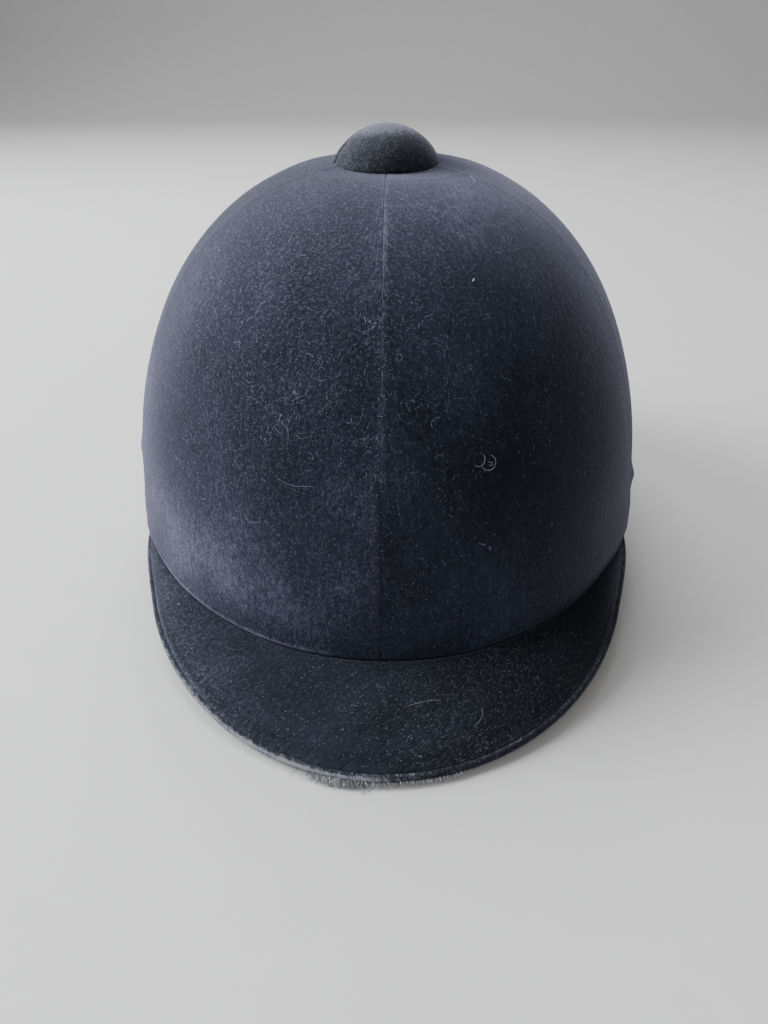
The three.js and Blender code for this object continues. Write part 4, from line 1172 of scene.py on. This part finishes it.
def build_straps(webbing, thread):
    for name, side in SIDES.items():
        bar = BARS["buckle"] if side > 0 else BARS["slider"]
        past_pivot = [[side * STRAP_X, PIVOT[0] - 7], [side * STRAP_X, PIVOT[0] + 7]]
        line = np.concatenate([past_pivot, run_point(side, [3.0], 0), turn_round(side, bar, 1),
                               strap_tail(side, bar, 1, 1)])
        ribbon(f"webbing_short_{name}", eased(line), STRAP_Z, STRAP_THICKNESS, webbing,
               [f"strap_short_{name}"], "harness")
        sewn_box(f"short_thread_{name}", side, (1.8, 4.6), thread)
    bend = np.linspace(STRAP_LEAN, np.pi / 2, 30)
    chin = CHIN_CENTRE + CHIN_BEND * np.stack([np.cos(bend), np.sin(bend)], -1)
    halves = [np.concatenate([strap_tail(side, bar, -1, end)[::-1], turn_round(side, bar, -1)[::-1],
                              chin * (side, 1)])
              for side, bar, end in [(1, BARS["buckle_rear"], 53), (-1, BARS["slider_rear"], 60)]]
    line = np.concatenate([halves[0], halves[1][::-1]])
    ribbon("webbing_main", eased(line, 2), STRAP_Z, STRAP_THICKNESS, webbing, ["strap_main"], "harness")
    sewn_box("main_thread", 1, (46.4, 51.8), thread)


def build_hangers(webbing, steel, thread):
    low, high = HANGER_Z
    outline = rounded_section(14, high - low, 2.2) + [PIVOT[0], (low + high) / 2]
    # A domed head with a rolled edge, and the start of its shank: radius and height.
    rivet = [(0.02, 0.75), (1.2, 0.68), (2.4, 0.4), (3.4, -0.02), (4.1, -0.5), (4.45, -0.95),
             (4.4, -1.2), (2.0, -1.2), (2.0, -3.2)]
    for name, side in SIDES.items():
        face = lambda y, z, depth: np.stack([side * (HANGER_X[1] - depth) + 0 * y, y, z], -1)
        hanger = slab(f"hanger_webbing_{name}", outline, face, HANGER_X[1] - HANGER_X[0], 0.5, webbing,
                      [f"hanger_{name}"])
        add_uv(hanger, plan_points(hanger)[:, 1:])
        for end, dome, replaced in [("inner", -1, []), ("outer", 1, [f"pivot_rivet_{name}"])]:
            turned(f"pivot_{end}_{name}", rivet, (side * RIVET_X[end], *PIVOT), (dome * side, 0, 0), steel,
                   replaced)
        line = np.stack([np.full(60, side * 92.0), PIVOT[0] + np.linspace(-5, 5, 60), np.full(60, 21.0)], -1)
        stitches(f"hanger_thread_{name}", line, (-side, 0, 0), thread, 1.6, 1.3, 0.2)


def rib(name, centre, size, radius, thickness, edge, paint, side, out):
    """A low rib on a fitting's outer face, placed along the strap's run and in height."""
    face = lambda u, z, depth: np.concatenate([run_point(side, u, out - depth), z[..., None]], -1)
    slab(name, rounded_section(*size, radius) + centre, face, thickness, edge, paint, body="harness")


def build_fittings(plastic):
    softened("buckle_female_moulding", "buckle_female", 0.55, "harness", plastic)
    softened("buckle_male_moulding", "buckle_male", 0.45, "harness", plastic)
    for arm in ("buckle_arm_upper", "buckle_arm_lower"):
        softened(f"{arm}_moulding", arm, 0.45, arm, plastic)
    softened("slider_moulding", "ladder_slider", 0.45, "harness", plastic)
    softened("keeper_moulding", "strap_keeper", 0.4, "strap_keeper", plastic)
    for i, u in enumerate((23.0, 25.0, 27.0, 29.0, 31.0)):
        rib(f"buckle_rib_{i}", [u, PIVOT[1]], (0.9, 9.5), 0.44, 0.7, 0.3, plastic, side=1, out=6.5)
    for i, z in enumerate((2.5, 19.5)):
        for j, u in enumerate((12.5, 14.5, 21.0, 23.0)):
            rib(f"slider_rib_{i}_{j}", [u, z], (0.8, 1.3), 0.35, 0.6, 0.25, plastic, side=-1, out=4.3)


# ---- Chin cup ----

def build_chin_cup(plastic, cloth):
    back = CHIN_CENTRE[1] + CHIN_BEND - STRAP_THICKNESS / 2 - 0.4

    def plate_face(x, z, depth):
        hollow = 2.0 * (np.abs(x) / 24) ** 2
        return np.stack([x, back - depth - hollow * depth / 2.5, z], -1)

    outline = resample_closed(rounded_section(48, 23, 8, 14), 0.8) + [0, CUP_Z]
    slab("cup_plate", outline, plate_face, 2.5, 0.7, plastic, ["chin_cup"], "chin_cup")
    flat_face = lambda x, z, depth: np.stack([x, BRIDGE_Y - depth + 0 * x, z], -1)
    for i, x in enumerate((-16, 16)):
        bridge = rounded_section(4.8, 18.4, 1.2) + [x, 11]
        slab(f"cup_bridge_{i}", bridge, flat_face, 1.4, 0.45, plastic, body="chin_cup")
        for j, z in enumerate((2.4, 19.6)):
            post = rounded_section(4.8, 1.4, 0.5) + [x, z]
            slab(f"cup_post_{i}_{j}", post, flat_face, 4.4, 0.3, plastic, body="chin_cup")

    turn = around(72)[None, :]
    spread = np.linspace(0.03, 1, 14)[:, None]
    squared = (np.abs(np.cos(turn)) ** 4 + np.abs(np.sin(turn)) ** 4) ** -0.25
    x = 23.6 * spread * squared * np.cos(turn)
    z = CUP_Z + 10.2 * spread * squared * np.sin(turn)
    near = back - 3.0 - 2.0 * (x / 24) ** 2
    thick = 1.2 + 4.2 * np.sqrt(np.maximum(1 - spread ** 3.2, 0)) - 0.5 * bell(x, 0, 1.6) * (1 - spread)
    points = np.concatenate([np.stack([x, near - thick, z], -1), np.stack([x, near, z], -1)[::-1]])
    loft("cup_pad_cover", points, cloth, ["chin_cup_pad"], "chin_cup")


# ---- Bow ----

def build_bow(paint):
    loop_line = [(3.2, 127.2), (12, 127), (20, 125.2), (26.5, 125.2), (28.6, 127.3), (25, 129.4),
                 (17, 129.8), (10, 130.6), (3.2, 129.7)]
    tail_outline = np.array([[0.6, 5.9], [5.4, 5.9], [12.4, 1.7], [10.2, 2.2], [9.3, 0.5], [5.6, 1.0]])
    tail_face = lambda x, z, depth: np.stack([x, BOW_TAIL_Y - depth + 0.35 * np.sin(x / 2.1), z], -1)
    for name, side in SIDES.items():
        line = eased(loop_line, 4) * (side, 1)
        loop = ribbon(f"bow_ribbon_loop_{name}", line, (7, 19), 0.7, paint, [f"bow_loop_{name}"],
                      waviness=0.12)
        pinch_ribbon(loop, side)
        outline = resample_closed(tail_outline, 0.5) * (side, 1)
        tail = slab(f"bow_ribbon_tail_{name}", outline, tail_face, 0.7, 0.25, paint, [f"bow_tail_{name}"])
        add_uv(tail, plan_points(tail)[:, [2, 0]])
    section = rounded_section(6.4, 4.8, 2.1, 7) + KNOT_MIDDLE
    crease = 1 + 0.03 * np.sin(section[:, :1] * 4)
    rings = []
    for z in np.linspace(6.2, 19.8, 30):
        flat = (section - KNOT_MIDDLE) * (1 - 0.16 * bell(z, BOW_Z, 3.5)) * crease + KNOT_MIDDLE
        rings.append(np.column_stack([flat, np.full(len(flat), z)]))
    knot = loft("bow_ribbon_knot", np.stack(rings), paint, ["bow_knot"])
    add_uv(knot, plan_points(knot)[:, [0, 2]])


def pinch_ribbon(loop, side):
    """Gathers a bow's loop towards the knot."""
    places = plan_points(loop)
    share = 0.62 + 0.38 * smoothstep(side * places[:, 0], 2, 13)
    fold = 0.35 * np.sin(places[:, 2] * 2.2) * (1 - smoothstep(side * places[:, 0], 3, 14))
    places[:, 2] = BOW_Z + (places[:, 2] - BOW_Z) * share
    places[:, 1] += fold
    loop.data.vertices.foreach_set("co", to_frame(places).ravel())
    loop.data.update()


# ---- Pieces kept as they were packed ----

def paint_cad(paint, *nodes, bevel=0.0):
    for node in nodes:
        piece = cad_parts[node]
        piece.data.materials.clear()
        piece.data.materials.append(paint[0])
        if bevel:
            edge = piece.modifiers.new("edges", "BEVEL")
            edge.width = bevel * MM
            edge.segments = 2
            edge.limit_method = "ANGLE"


# ---- Studio, in metres ----

def link(name, data):
    thing = bpy.data.objects.new(name, data)
    bpy.context.scene.collection.objects.link(thing)
    return thing


def build_floor():
    """A floor that curves up into a wall behind."""
    paint = Paint("floor", roughness=0.6)
    grain = paint.noise(paint.coordinates(), 60, 4)
    paint.feed("Base Color", paint.mix(grain, (0.72, 0.715, 0.7), (0.76, 0.755, 0.745)))
    mesh = bpy.data.meshes.new("floor")
    turn = np.radians(np.linspace(0, 90, 24))
    profile = [(-4.0, 0.0)] + [(2.0 + np.sin(a), 1 - np.cos(a)) for a in turn] + [(3.0, 4.0)]
    corners = [(x, y, z) for y, z in profile for x in (-5.0, 5.0)]
    mesh.from_pydata(corners, [], grid_faces(len(profile), 2).tolist())
    mesh.polygons.foreach_set("use_smooth", [True] * len(mesh.polygons))
    mesh.materials.append(paint.material)
    floor = link("floor", mesh)


def build_lights():
    world = bpy.data.worlds.new("studio")
    world.use_nodes = True
    background = world.node_tree.nodes["Background"]
    background.inputs["Color"].default_value = (0.88, 0.87, 0.88, 1)
    background.inputs["Strength"].default_value = 0.28
    bpy.context.scene.world = world
    for name, place_at, target_z, size, power, color in [
        ("window", (-1.5, 0.15, 0.95), 0.07, (1.1, 1.3), 56, (0.93, 0.96, 1.0)),
        ("overhead", (-0.3, 0.9, 1.5), 0.08, (1.2, 0.8), 26, (0.96, 0.97, 1.0)),
        ("front", (-0.5, -1.6, 0.9), 0.06, (1.2, 0.9), 7, (1.0, 0.98, 0.96)),
    ]:
        light = bpy.data.lights.new(name, "AREA")
        light.shape = "RECTANGLE"
        light.size, light.size_y = size
        light.energy = power
        light.color = color
        lamp = link(name, light)
        lamp.location = place_at
        to_target = Vector((0, 0, target_z)) - Vector(place_at)
        lamp.rotation_euler = to_target.to_track_quat("-Z", "Y").to_euler()


def build_camera():
    data = bpy.data.cameras.new("camera")
    data.sensor_fit = "VERTICAL"
    data.sensor_height = 36.0
    data.lens = CAMERA_LENS
    data.clip_start = 0.01
    pitch, yaw, roll = (math.radians(value) for value in (CAMERA_PITCH, CAMERA_YAW, CAMERA_ROLL))
    forward = Vector((math.sin(yaw) * math.cos(pitch), math.cos(yaw) * math.cos(pitch), -math.sin(pitch)))
    right = forward.cross(Vector((0, 0, 1))).normalized()
    up = right.cross(forward)
    tilted_right = right * math.cos(roll) + up * math.sin(roll)
    tilted_up = up * math.cos(roll) - right * math.sin(roll)
    posed = Matrix((tilted_right, tilted_up, -forward)).transposed().to_4x4()
    posed.translation = Vector(to_frame(CAMERA_PLACE))
    camera = link("camera", data)
    camera.matrix_world = posed
    bpy.context.scene.camera = camera


build_camera()
build_floor()
build_lights()

build_panels(velvet("velvet", "velvet", (0.002, 0.0029, 0.0082), (0.0168, 0.0212, 0.0425),
                    (0.116, 0.111, 0.166)))
build_button(velvet("velvet_button", "velvet", (0.004, 0.005, 0.008), (0.02, 0.022, 0.032),
                    (0.12, 0.122, 0.15), "Object"))
build_peak_cover(velvet("velvet_peak", "peak_velvet", (0.0022, 0.0032, 0.007), (0.015, 0.019, 0.032),
                        (0.07, 0.078, 0.115)))
build_peak_edge(velvet("velvet_edge", "peak_velvet", (0.004, 0.005, 0.009), (0.02, 0.023, 0.034),
                       (0.24, 0.25, 0.28), "Object"))
build_lint(fibre("lint", "velvet", (0.28, 0.35, 0.46), shaded=True))
build_fringe(fibre("frayed_thread", "peak_velvet", (0.36, 0.37, 0.4), shaded=True))

thread_paint = fibre("thread", "trim_leather", (0.05, 0.05, 0.055))
pale_thread = fibre("pale_thread", "trim_leather", (0.1, 0.09, 0.075))
web_thread = fibre("web_thread", "webbing", (0.06, 0.06, 0.065))
satin = woven("satin", "lining_satin", (0.022, 0.028, 0.055), 0.5, 0.35, 0.42, 0.4)
knit = knitted("knit_cloth", "soft_foam", (0.05, 0.052, 0.06))
piping_cloth = knitted("piping", "lining_satin", (0.012, 0.014, 0.03))
webbing_cloth = woven("webbing", "webbing", (0.014, 0.015, 0.018), 1.5, 1.1, 0.75)
moulded = grained("moulded_plastic", "plastic", (0.014, 0.014, 0.016), 0.42, 2600, 0.03)
rivet_steel = grained("rivet_steel", "steel", (0.2, 0.2, 0.205), 0.36, 1800, 0.02, metallic=1.0)
fibreboard = grained("fibreboard", "board", (0.022, 0.021, 0.02), 0.8, 900, 0.15)

build_rim_trim(leather("rim_leather", (0.018, 0.016, 0.015)), thread_paint)
build_headband(knit, leather("sweatband_leather", (0.045, 0.03, 0.022)), pale_thread)
build_lining(satin, knit, piping_cloth)
build_peak_board(fibreboard)
build_peak_lining(leather("peak_underside", (0.02, 0.02, 0.021)), thread_paint)
build_straps(webbing_cloth, web_thread)
build_hangers(webbing_cloth, rivet_steel, web_thread)
build_fittings(moulded)
build_chin_cup(moulded, knit)
build_bow(woven("grosgrain", "ribbon", (0.006, 0.008, 0.014), 0.45, 1.3, 0.6, 0.12))
paint_cad(grained("moulded_shell", "shell", (0.03, 0.031, 0.034), 0.45, 1200, 0.05), "crown_shell")
paint_cad(beaded_foam("beaded_foam", "liner_foam"), "eps_liner")
paint_cad(fibreboard, "button_core")
paint_cad(rivet_steel, "button_stud", "button_washer", "button_nut", "shell_rivet_left", "shell_rivet_right",
          bevel=0.2)
